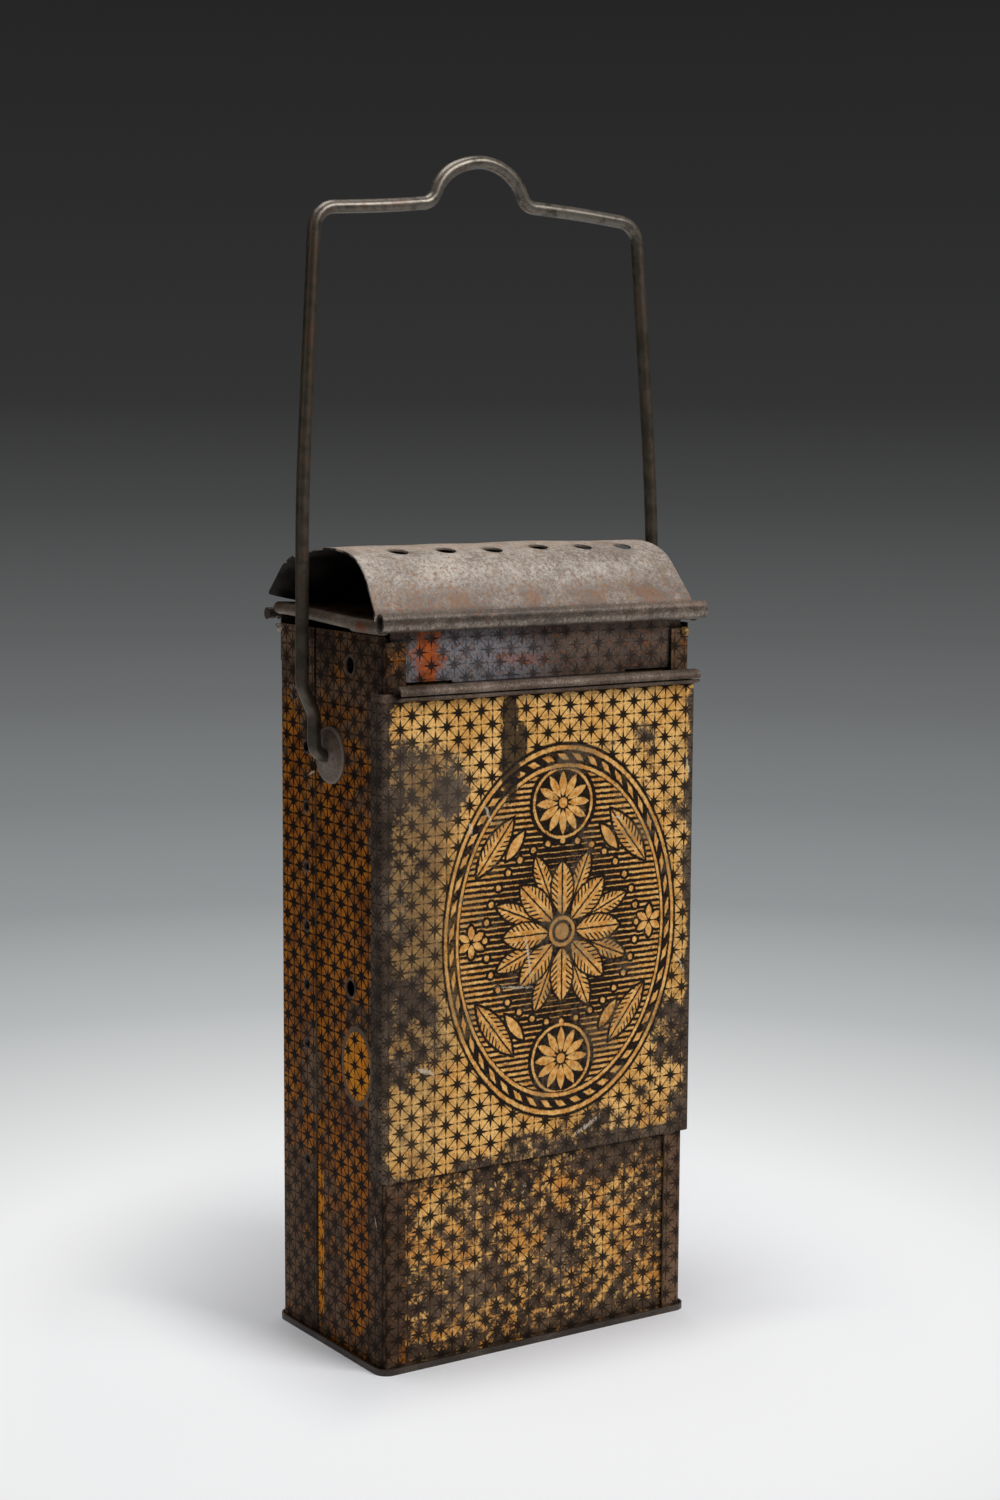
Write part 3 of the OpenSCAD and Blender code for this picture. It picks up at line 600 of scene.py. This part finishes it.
def lower_wear(f):
    """The fixed front below the cover: patchy all over, most at its sides and under the cover's edge."""
    sides = f.x.step(-22, -31) * 0.3 + f.x.step(27, 32) * 0.3
    top = f.z.step(30, 35) * (0.35 + f.x.step(6, 14) * 0.5)
    foot = f.z.step(5, 1.5) * 0.6
    kept = near_point(f.x, f.z, (17, 19), (9, 9)).step(-0.2, 0.7)
    kept = kept.most(near_point(f.x, f.z, (-22, 25), (6, 9)).step(-0.2, 0.7) * 0.8)
    kept = kept.most(near_point(f.x, f.z, (4, 31), (5, 5)).step(-0.2, 0.7) * 0.8)
    gone = near_point(f.x, f.z, (-13, 13), (9, 4)).step(-0.2, 0.7)
    gone = gone.most(near_point(f.x, f.z, (5, 20), (3.5, 6)).step(-0.2, 0.7))
    gone = gone.most(near_point(f.x, f.z, (17, 31), (6, 4)).step(-0.2, 0.7))
    return sides + top + foot + gone * 0.6 - kept * 0.6 + 0.16, 0.25


def bare_tin(name, base, light, dark, rust_level, rough, metal, soot_inside=0.0, spangle=0.0):
    """Tin plate without print."""
    f = Finish(name)
    colour, fine = tin_colours(f, base, light, dark, RUST, rust_level)
    if spangle:
        cell = f.cells(0.9, output="Color")
        colour = f.mix(cell * spangle, colour, light)
    height = fine * 0.8
    if soot_inside:
        under = f.nz.op("LESS_THAN", 0.02)
        colour = f.mix(under * soot_inside, colour, SOOT)
    shine = f.noise(0.4, 4, 0.6) * 0.2 + rough - 0.1
    return f.finish(colour, shine, metal, height, 0.035)


def hood_finish():
    """Pale, stained tin of the hood: rust freckles all over, cold clouds and painted shade low on its front, a painted
    highlight along its foot, painted shade round its vents, soot inside.
    """
    f = Finish("stained_hood_tin")
    cloud = f.noise(0.12, 5, 0.65)
    grain = f.noise(1.4, 5, 0.7)
    fine = f.noise(3.6, 4, 0.7)
    upright = f.noise(0.3, 4, 0.65, place=f.join(f.x * 1.3, f.y * 0.3, f.z * 0.35))
    tone = (cloud * 0.45 + grain * 0.5 + upright * 0.05).step(0.38, 0.58)
    colour = f.mix(tone, (126, 113, 103), (188, 177, 166))
    colour = f.mix((fine * 0.5 + grain * 0.3 + cloud * 0.2).step(0.48, 0.62) * 0.6, colour, (202, 193, 182))
    height = f.z - LID_TOP
    front = f.y.op("LESS_THAN", -8)
    # The lower front of the hood is darker: partly cold clouds and stains, partly painted shade where light from above
    # falls less
    low = height.step(8.0, 3.2) * front
    colour = f.mix(low * cloud.step(0.34, 0.56) * 0.85, colour, (104, 95, 89))
    colour = f.mix(low * (1 - grain) * 0.4, colour, (110, 96, 86))
    stain = (f.noise(0.28, 5, 0.7) * 0.7 + grain * 0.3 + low * 0.03).step(0.53, 0.62)
    colour = f.mix(stain * 0.5, colour, (138, 114, 88))
    freckle = (f.noise(1.3, 5, 0.7) * 0.8 + cloud * 0.2 + low * 0.04).step(0.54, 0.6)
    colour = f.mix(freckle * 0.62, colour, f.mix(f.noise(0.5, 3, 0.6).step(0.4, 0.6), (126, 92, 62), (140, 86, 44)))
    ragged = (f.noise(0.6, 6, 0.75) - 0.5) * 2.4
    for x in (-18, -2, 12, 24):
        spot = (near_point(f.x, height, (x, 2.6), (2.6, 1.5)) + ragged * 1.4).step(-0.1, 0.6) * front
        colour = f.mix(spot * 0.34, colour, (140, 92, 54))
    stars, lines, _ = lattice(f.x, f.z * 1.2 - f.y * 0.8)
    trace = (stars + (fine - 0.5) * 0.9).step(0.0, 0.25).most(lines.step(0.0, 0.08) * 0.3)
    colour = f.mix(trace * 0.2, colour, (84, 78, 76))
    dark = f.noise(2.0, 4, 0.7).step(0.56, 0.64)
    colour = f.mix(dark * 0.6, colour, (88, 72, 62))
    crest = height.step(10.6, 11.9) * f.noise(0.5, 4, 0.7).step(0.36, 0.6)
    colour = f.mix(crest * 0.4, colour, (186, 152, 124))
    # Painted highlight: a bright line along the hood's foot at the front
    foot = height.step(0.95, 0.6) * front
    colour = f.mix(foot * 0.75, colour, (206, 190, 172))
    # Painted shade: the sheet round the vent holes is darkened so that the holes read dark
    vent = 2.7 - length((f.x - VENT_PITCH / 2).fold(VENT_PITCH), f.y - VENT_Y)
    colour = f.mix(vent.step(0.0, 0.9) * 0.35, colour, (88, 72, 60))
    under = (f.ny * (f.y + 4) * 0.06 + f.nz * (f.z - LID_TOP + 6) * 0.06).op("LESS_THAN", 0)
    soot = f.mix(f.noise(0.25, 4, 0.6).step(0.35, 0.7), (26, 23, 21), (62, 56, 50))
    colour = f.mix(under, colour, soot)
    bumps = grain * 0.4 + fine * 0.5 + f.noise(0.07, 2, 0.4) * 5
    return f.finish(colour, 0.46 + grain * 0.16, 0.2, bumps, 0.04, Specular_IOR_Level=0.35)


def lid_finish():
    """The lid's plate is dark on top under the hood, with soot and painted shade; its rolled sides are worn grey by
    handling, with one rust spot at the front.
    """
    f = Finish("lid_tin")
    colour, fine = tin_colours(f, (126, 111, 96), (168, 154, 138), (84, 69, 57), RUST, 0.6)
    rusty = blotch(f, f.y, f.z, (-13.6, 133.0), (1.7, 1.0), 0.5) * f.x.op("LESS_THAN", -33)
    colour = f.mix(rusty * 0.85, colour, (120, 60, 22))
    brown = f.noise(0.22, 5, 0.7).step(0.48, 0.6)
    colour = f.mix(brown * 0.6, colour, (106, 84, 62))
    # Painted shade with soot: the top faces under the hood are darkened
    top = (abs(f.x)).step(33.9, 33.2) * f.nz.over(0.2)
    sooty = f.mix(f.noise(0.5, 5, 0.7).step(0.4, 0.62), (38, 29, 22), (92, 66, 42))
    colour = f.mix(top, colour, sooty)
    shine = f.noise(0.4, 4, 0.6) * 0.2 + 0.36
    return f.finish(colour, shine, 0.35, fine * 0.8, 0.03, Specular_IOR_Level=0.4)


def wire_finish():
    """Old steel wire, smooth and grey-brown, rusty on its left arm, brighter at the top of its arch where hands wear it
    and a painted highlight lies.
    """
    f = Finish("old_steel_wire")
    cloud = f.noise(0.12, 4, 0.6)
    streak = f.noise(0.4, 4, 0.55)
    colour = f.mix(streak.step(0.36, 0.66), (70, 62, 51), (94, 85, 73))
    colour = f.mix((cloud * 0.4 + streak * 0.6).step(0.52, 0.62) * 0.4, colour, (118, 109, 98))
    # Brighter at the top of the arch: worn there by hands, and a painted highlight
    rubbed_and_highlit = f.z.step(197, 206) * streak.step(0.3, 0.5)
    colour = f.mix(rubbed_and_highlit * 0.6, colour, (124, 117, 108))
    rusty = (streak * 0.7 + cloud * 0.3 + f.x.step(-30, -36) * f.z.step(150, 190) * 0.05).step(0.53, 0.62)
    colour = f.mix(rusty * 0.6, colour, (82, 54, 38))
    rough = 0.26 + cloud * 0.14
    return f.finish(colour, rough, 0.55, streak, 0.006)


def roll_finish():
    """The pressed front roll of the lid: dark above with a faint painted highlight on its top edge, bright along its
    lower half from worn metal and a painted highlight.
    """
    f = Finish("lid_roll_tin")
    colour, fine = tin_colours(f, (110, 94, 81), (148, 131, 116), (56, 46, 39), RUST, 0.57)
    # A bright band along the roll's lower half: partly worn bare metal, partly a painted highlight
    wave = (f.noise(0.25, 4, 0.6) - 0.5) * 0.9
    band = (0.8 - abs(f.z + wave - LID_TOP + 1.1)).step(0.0, 0.7)
    colour = f.mix(band * f.noise(0.5, 5, 0.7).step(0.3, 0.6) * 0.8, colour, (172, 158, 144))
    # Painted highlight: the roll's top edge is a little lighter
    top = (f.z - LID_TOP).step(0.7, 1.2)
    colour = f.mix(top * 0.25, colour, (146, 130, 116))
    stars, lines, _ = lattice(f.x, f.z)
    colour = f.mix(stars.most(lines).step(-0.05, 0.1) * 0.35, colour, (44, 37, 33))
    crack = (0.09 - abs(f.noise(1.1, 4, 0.7, bend=0.4) - 0.5) * 1.6).step(0.0, 0.06)
    colour = f.mix(crack * 0.5, colour, (48, 42, 38))
    return f.finish(colour, 0.42 + fine * 0.14, 0.35, fine, 0.04)


def disc_finish():
    """Pressed pivot discs: grey-brown, worn lighter on the dome, with a painted highlight round the rim."""
    f = Finish("pivot_disc_tin")
    colour, fine = tin_colours(f, (104, 88, 74), (142, 126, 112), (72, 60, 50), RUST, 0.62)
    r = length(f.y, f.z - PIVOT_Z)
    rub = r.step(4.4, 1.6) * f.noise(0.7, 4, 0.65).step(0.35, 0.6)
    colour = f.mix(rub * 0.5, colour, (160, 144, 130))
    # Painted highlight round the rim of the disc
    rim = abs(r - 4.9).step(0.35, 0.1)
    colour = f.mix(rim * 0.5, colour, (150, 132, 114))
    return f.finish(colour, 0.42 + fine * 0.15, 0.35, fine, 0.03)


def brass_finish():
    """Turned brass gone brown in cloudy patches, with dark specks."""
    f = Finish("old_brass")
    cloud = f.noise(0.35, 5, 0.65)
    colour = f.mix(cloud.step(0.4, 0.66), OLD_BRASS, BRASS)
    colour = f.mix(f.noise(1.8, 4, 0.7).step(0.6, 0.7) * 0.6, colour, (70, 60, 40))
    return f.finish(colour, 0.3 + cloud * 0.2, 0.9, f.noise(2.5, 3, 0.6), 0.02)


def solder_finish():
    """Dull solder: chalky at the rear corner, brassy on the front flange."""
    f = Finish("dull_solder")
    cloud = f.noise(0.9, 4, 0.6)
    pale = f.mix(cloud.step(0.35, 0.65), (128, 116, 100), (178, 170, 158))
    brassy = f.mix(cloud.step(0.4, 0.6), (84, 62, 34), (158, 122, 70))
    colour = f.mix(f.y.op("LESS_THAN", 0), pale, brassy)
    return f.finish(colour, 0.42 + cloud * 0.15, 0.4, f.noise(1.6, 4, 0.6), 0.1)


def mica_finish():
    """Flaky, slightly smoky mica. The light goes straight through it."""
    f = Finish("smoky_mica")
    flake = f.cells(0.16, output="Color")
    haze = f.noise(0.12, 5, 0.65)
    colour = f.mix((flake * 0.5 + haze * 0.5).step(0.3, 0.75), (190, 160, 104), MICA)
    f.shader.inputs["IOR"].default_value = 1.56
    f.shader.inputs["Alpha"].default_value = 0.18
    return f.finish(colour, 0.05 + haze * 0.12, 0.0, flake * 0.5 + haze * 0.5, 0.03)


def cotton_finish():
    """Woven flat wick, charred at its top edge."""
    f = Finish("woven_cotton")
    weave = (f.x.fold(0.55) + f.z.fold(0.42)) * 1.6
    burnt = (f.z + f.noise(1.2, 3, 0.6) * 2).step(WICK_TOP - 1.4, WICK_TOP + 0.6)
    colour = f.mix(weave.step(0.1, 0.7), (160, 142, 110), COTTON)
    colour = f.mix(burnt, colour, CHAR)
    return f.finish(colour, 0.9, 0.0, weave, 0.12)


def dress(nodes, names, material):
    """Gives CAD nodes one material in every slot."""
    for name in names:
        mesh = nodes[name].data
        mesh.materials.clear()
        mesh.materials.append(material)


def lumpy(thing, size, depth):
    """Makes a smooth drop uneven. Size and depth in millimetres."""
    fine = thing.modifiers.new("more_faces", "SUBSURF")
    fine.subdivision_type = "SIMPLE"
    fine.levels = fine.render_levels = 2
    clouds = bpy.data.textures.new("lumps", "CLOUDS")
    clouds.noise_scale = size * MM
    push = thing.modifiers.new("lumps", "DISPLACE")
    push.texture = clouds
    push.texture_coords = "LOCAL"
    push.strength = depth * MM


def sheet_copy(node, name, x_cuts, y_cuts=()):
    """A copy of a CAD sheet, sliced so that it can bend. Cuts in millimetres."""
    work = bmesh.new()
    work.from_mesh(node.data)
    work.transform(node.matrix_world)
    cuts = [((x, 0, 0), (1, 0, 0)) for x in x_cuts] + [((0, y, 0), (0, 1, 0)) for y in y_cuts]
    for place, normal in cuts:
        everything = work.verts[:] + work.edges[:] + work.faces[:]
        bmesh.ops.bisect_plane(work, geom=everything, plane_co=[c * MM for c in place], plane_no=normal)
    mesh = bpy.data.meshes.new(name)
    work.to_mesh(mesh)
    work.free()
    copy = bpy.data.objects.new(name, mesh)
    bpy.context.scene.collection.objects.link(copy)
    return copy


def smooth_step(value, low, high):
    t = min(max((value - low) / (high - low), 0), 1)
    return t * t * (3 - 2 * t)


def dress_sheet(sheet, node_name, material, body=LID_BODY):
    """Gives a bent copy its looks and puts it in the place of the CAD node."""
    sheet.data.materials.clear()
    sheet.data.materials.append(material)
    sheet.data.shade_smooth()
    crisp = sheet.modifiers.new("crisp_edges", "EDGE_SPLIT")
    crisp.split_angle = math.radians(32)
    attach(sheet, body)
    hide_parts(node_name)


def raise_tongue(nodes, material):
    """The sliding front, its tongue standing up behind the lid's roll."""
    front = sheet_copy(nodes["front_cover"], "slide_sheet", ())
    for vert in front.data.vertices:
        if vert.co.z > TONGUE_FOLD * MM:
            vert.co.z += 1.0 * MM
    dress_sheet(front, "front_cover", material, "slide")


def bend_bail(nodes, material):
    """The bail as it is today: its left half sags a little and its arch is spread, most to the left."""
    cuts = [side * (13 + 2.4 * i) for i in range(8) for side in (-1, 1)]
    wire = sheet_copy(nodes["bail_wire"], "bail_wire_bent", cuts)
    for vert in wire.data.vertices:
        x, y, z = (c / MM for c in vert.co)
        sag = 0.25 + 0.7 * smooth_step(x, -37, -13) * smooth_step(-x, -26, -3)
        vert.co.z -= sag * smooth_step(z, 170, 200) * MM
        spread = smooth_step(abs(x), 0, 8) * smooth_step(-abs(x), -27, -12) * smooth_step(z, 170, 195)
        vert.co.x += (0.5 if x > 0 else -1.5) * spread * MM
    dress_sheet(wire, "bail_wire", material, "bail")


def lid_lift(x, y):
    """How far the lid's rear left corner is bent up, in millimetres."""
    return 1.1 * smooth_step(-x, 14, 36) * smooth_step(y, -14, 18)


def bend_lid(nodes, material):
    """The lid's plate as it is today, with its rear left corner bent up a little."""
    lid = sheet_copy(nodes["lid_plate"], "lid_sheet", [-34 + 2.5 * i for i in range(9)], [-15 + 3 * i for i in range(11)])
    for vert in lid.data.vertices:
        x, y, z = (c / MM for c in vert.co)
        vert.co = Vector((x, y, z + lid_lift(x, y))) * MM
    dress_sheet(lid, "lid_plate", material)


def bend_hood(nodes, material):
    """The hood as it is today: rear left corner bent up, right end pressed back, the sheet a little uneven."""
    half = 35
    cuts = [-half + 2 * i for i in range(1, 12)] + [-half + 24 + 4 * i for i in range(11)]
    hood = sheet_copy(nodes["hood"], "hood_sheet", cuts)
    for vert in hood.data.vertices:
        x, y, z = (c / MM for c in vert.co)
        corner = max(0, (-x - 13) / 22.5) ** 2.4 * smooth_step(y, 5, 18.6)
        rise = z - LID_TOP
        free = smooth_step(rise, 1.5, 6)
        wave = noise.noise(Vector((x * 0.07, y * 0.09, 3.1))) * 0.5 * free
        pressed = smooth_step(x, 12, 33) * smooth_step(rise, 0.5, 9) * smooth_step(y, 6, -12)
        z += 2.7 * corner + wave - 0.5 * pressed - 0.5 * smooth_step(y, 8, 18.6) * smooth_step(rise, 2.6, 1.2)
        y += 0.5 * corner + wave * 0.3 + 2.2 * pressed
        vert.co = Vector((x, y, z)) * MM
    dress_sheet(hood, "hood", material)


def make_stage():
    """Pale floor that darkens into a charcoal wall, as a lit paper sweep does: painted light, graded tones that glow
    for camera, glossy and transmission rays.
    """
    radius = 1.6
    height = 1.3
    f = Finish("studio_paper")
    reach = length(f.x, f.y)
    floor = [(60, 245), (110, 238), (150, 224), (187, 211), (267, 182), (425, 146), (664, 126), (1060, 106), (1600, 92)]
    wall = [(0, 93), (100, 69), (180, 51), (260, 47), (340, 43), (490, 37), (1300, 30)]
    tone = graded(f, reach, floor)
    up = graded(f, f.z, wall)
    on_wall = reach.over(radius / MM - 2)
    colour = f.mix(on_wall, tone, up)
    glow = f.new("ShaderNodeEmission")
    f.tree.links.new(colour, glow.inputs["Color"])
    f.shader.inputs["Roughness"].default_value = 0.9
    f.shader.inputs["Specular IOR Level"].default_value = 0.1
    f.tree.links.new(f.mix(reach.step(300, 900), (242, 243, 246), (70, 70, 72)), f.shader.inputs["Base Color"])
    rays = f.new("ShaderNodeLightPath")
    seen = Num(f.tree, rays.outputs["Is Camera Ray"]).most(Num(f.tree, rays.outputs["Is Glossy Ray"]))
    seen = seen.most(Num(f.tree, rays.outputs["Is Transmission Ray"]))
    # Share of painted glow over the lit floor: strong in front of the object and at its left, where painted light
    # covers most of the object's shadow; near the base the lit floor keeps it
    aside = abs(f.y * 0.55 - f.x * 0.83)
    share = (reach + aside.step(20, 120) * 60).step(36, 170)
    clear = (0 - f.y).step(19.5, 42).most((0 - f.x).step(35, 62))
    share = share.most(clear * 0.68) * seen
    both = f.new("ShaderNodeMixShader")
    plug(f.tree, both.inputs[0], share)
    f.tree.links.new(f.shader.outputs[0], both.inputs[1])
    f.tree.links.new(glow.outputs[0], both.inputs[2])
    out = next(n for n in f.tree.nodes if n.type == "OUTPUT_MATERIAL")
    f.tree.links.new(both.outputs[0], out.inputs["Surface"])

    mesh = bpy.data.meshes.new("paper_sweep")
    work = bmesh.new()
    steps = 96
    rings = [(0.25, 0), (0.7, 0), (radius, 0), (radius, height)]
    loops = []
    for r, z in rings:
        loops.append([work.verts.new((r * math.cos(2 * math.pi * i / steps), r * math.sin(2 * math.pi * i / steps), z))
                      for i in range(steps)])
    middle = work.verts.new((0, 0, 0))
    for i in range(steps):
        j = (i + 1) % steps
        work.faces.new((middle, loops[0][i], loops[0][j]))
        for inner, outer in zip(loops, loops[1:]):
            work.faces.new((inner[i], outer[i], outer[j], inner[j]))
    work.to_mesh(mesh)
    work.free()
    mesh.materials.append(f.material)
    sweep = bpy.data.objects.new("paper_sweep", mesh)
    bpy.context.scene.collection.objects.link(sweep)


def graded(f, value, stops):
    """Grey tone that runs through (place, grey) stops."""
    node = f.new("ShaderNodeValToRGB")
    low, high = stops[0][0], stops[-1][0]
    plug(f.tree, node.inputs[0], (value - low) / (high - low))
    ramp = node.color_ramp
    while len(ramp.elements) < len(stops):
        ramp.elements.new(0.5)
    for element, (place, grey) in zip(ramp.elements, stops):
        element.position = (place - low) / (high - low)
    for element, (place, grey) in zip(ramp.elements, stops):
        cool = 5 * math.exp(-((grey - 150) / 60) ** 2)
        element.color = linear((grey, grey + 0.7 * cool, grey + cool))
    return node.outputs[0]


def add_lamp(name, place, target, size, watts, tint=(255, 255, 255)):
    """A soft area lamp that looks at a point and that no camera sees."""
    data = bpy.data.lights.new(name, "AREA")
    data.shape = "RECTANGLE"
    data.size, data.size_y = size
    data.energy = watts
    data.color = linear(tint)[:3]
    lamp = bpy.data.objects.new(name, data)
    lamp.location = place
    lamp.rotation_mode = "QUATERNION"
    lamp.rotation_quaternion = (Vector(target) - Vector(place)).to_track_quat("-Z", "Y")
    lamp.visible_camera = False
    bpy.context.scene.collection.objects.link(lamp)


def light_scene():
    """One big soft lamp at the front right, a weak one at the left, and a dim room."""
    middle = (0, 0, 0.09)
    add_lamp("key_lamp", (0.35, -0.75, 0.75), middle, (0.55, 0.45), 7.4)
    add_lamp("top_lamp", (-0.05, 0.1, 1.0), middle, (0.7, 0.6), 5.6)
    add_lamp("left_lamp", (-0.9, -0.1, 0.45), middle, (0.5, 0.6), 0.35)
    world = bpy.data.worlds.new("studio_room")
    world.use_nodes = True
    world.node_tree.nodes["Background"].inputs[0].default_value = linear((120, 121, 124))
    world.node_tree.nodes["Background"].inputs[1].default_value = 0.4
    bpy.context.scene.world = world
    bpy.context.scene.view_settings.view_transform = "Standard"


def make_camera():
    """The photograph's camera."""
    turn, dip, roll = (math.radians(a) for a in (CAM_TURN, CAM_DIP, CAM_ROLL))
    ahead = Vector((math.sin(turn) * math.cos(dip), math.cos(turn) * math.cos(dip), -math.sin(dip)))
    level = Vector((math.cos(turn), -math.sin(turn), 0))
    upright = level.cross(ahead)
    right = level * math.cos(roll) + upright * math.sin(roll)
    up = right.cross(ahead)
    data = bpy.data.cameras.new("photo_camera")
    data.sensor_width = SENSOR
    data.lens = CAM_LENS
    data.clip_start, data.clip_end = 0.01, 20
    camera = bpy.data.objects.new("photo_camera", data)
    turned = Matrix((right, up, -ahead)).transposed().to_4x4()
    camera.matrix_world = Matrix.Translation(CAM_PLACE) @ turned
    bpy.context.scene.collection.objects.link(camera)
    bpy.context.scene.camera = camera


def main():
    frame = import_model()
    nodes = frame["nodes"]

    side = printed_tin("printed_case_tin", ((118, 64, 9), (188, 115, 21), (104, 58, 14)), side_wear, side_marks, stain=(82, 58, 38),
                       tin=((110, 84, 64), (136, 111, 89), (58, 44, 34)), inks=((9, 6, 4), (22, 17, 14)), sheen=0.05)
    cover = printed_tin("printed_cover_tin", (YELLOW, PALE_YELLOW, DEEP_YELLOW), cover_wear, cover_picture)
    lower = printed_tin("printed_front_tin", ((202, 136, 58), (242, 192, 114), (198, 130, 54)), lower_wear, patch=(0.5, 0.13), stain=(88, 62, 38),
                        tin=((92, 72, 55), (118, 98, 78), (52, 40, 31)), inks=(INK, (26, 20, 17)))
    dark = bare_tin("dark_edge_tin", (66, 56, 47), (104, 90, 78), (44, 35, 28), 0.62, 0.45, 0.3)
    inner = bare_tin("inner_tin", (120, 113, 104), (150, 143, 134), (70, 62, 55), 0.62, 0.4, 0.6)
    mirror = bare_tin("bright_tin", (176, 170, 160), (206, 200, 190), (120, 112, 102), 0.66, 0.26, 0.85)
    dress(nodes, ["rear_shell", "side_panel_left", "side_panel_right"], side)
    dress(nodes, ["front_panel"], lower)
    dress(nodes, ["base_tray", "case_hinge_leaf", "hinge_pin"], dark)
    plate = lid_finish()
    dress(nodes, ["lid_corner_sleeves"], plate)
    dress(nodes, ["lid_front_bead"], roll_finish())
    dress(nodes, ["pivot_discs"], disc_finish())
    dress(nodes, ["window_frame", "fount_body", "fount_top", "fount_clips", "chimney_collar"], inner)
    dress(nodes, ["reflector"], mirror)
    dress(nodes, ["filler_neck", "filler_cap", "burner_collar", "burner_cap", "wick_tube"], brass_finish())
    dress(nodes, ["solder_beads"], solder_finish())
    dress(nodes, ["window_pane"], mica_finish())
    dress(nodes, ["wick"], cotton_finish())
    raise_tongue(nodes, cover)
    bend_bail(nodes, wire_finish())
    bend_lid(nodes, plate)
    bend_hood(nodes, hood_finish())
    lumpy(nodes["solder_beads"], 0.9, 0.5)

    make_stage()
    light_scene()
    make_camera()


main()
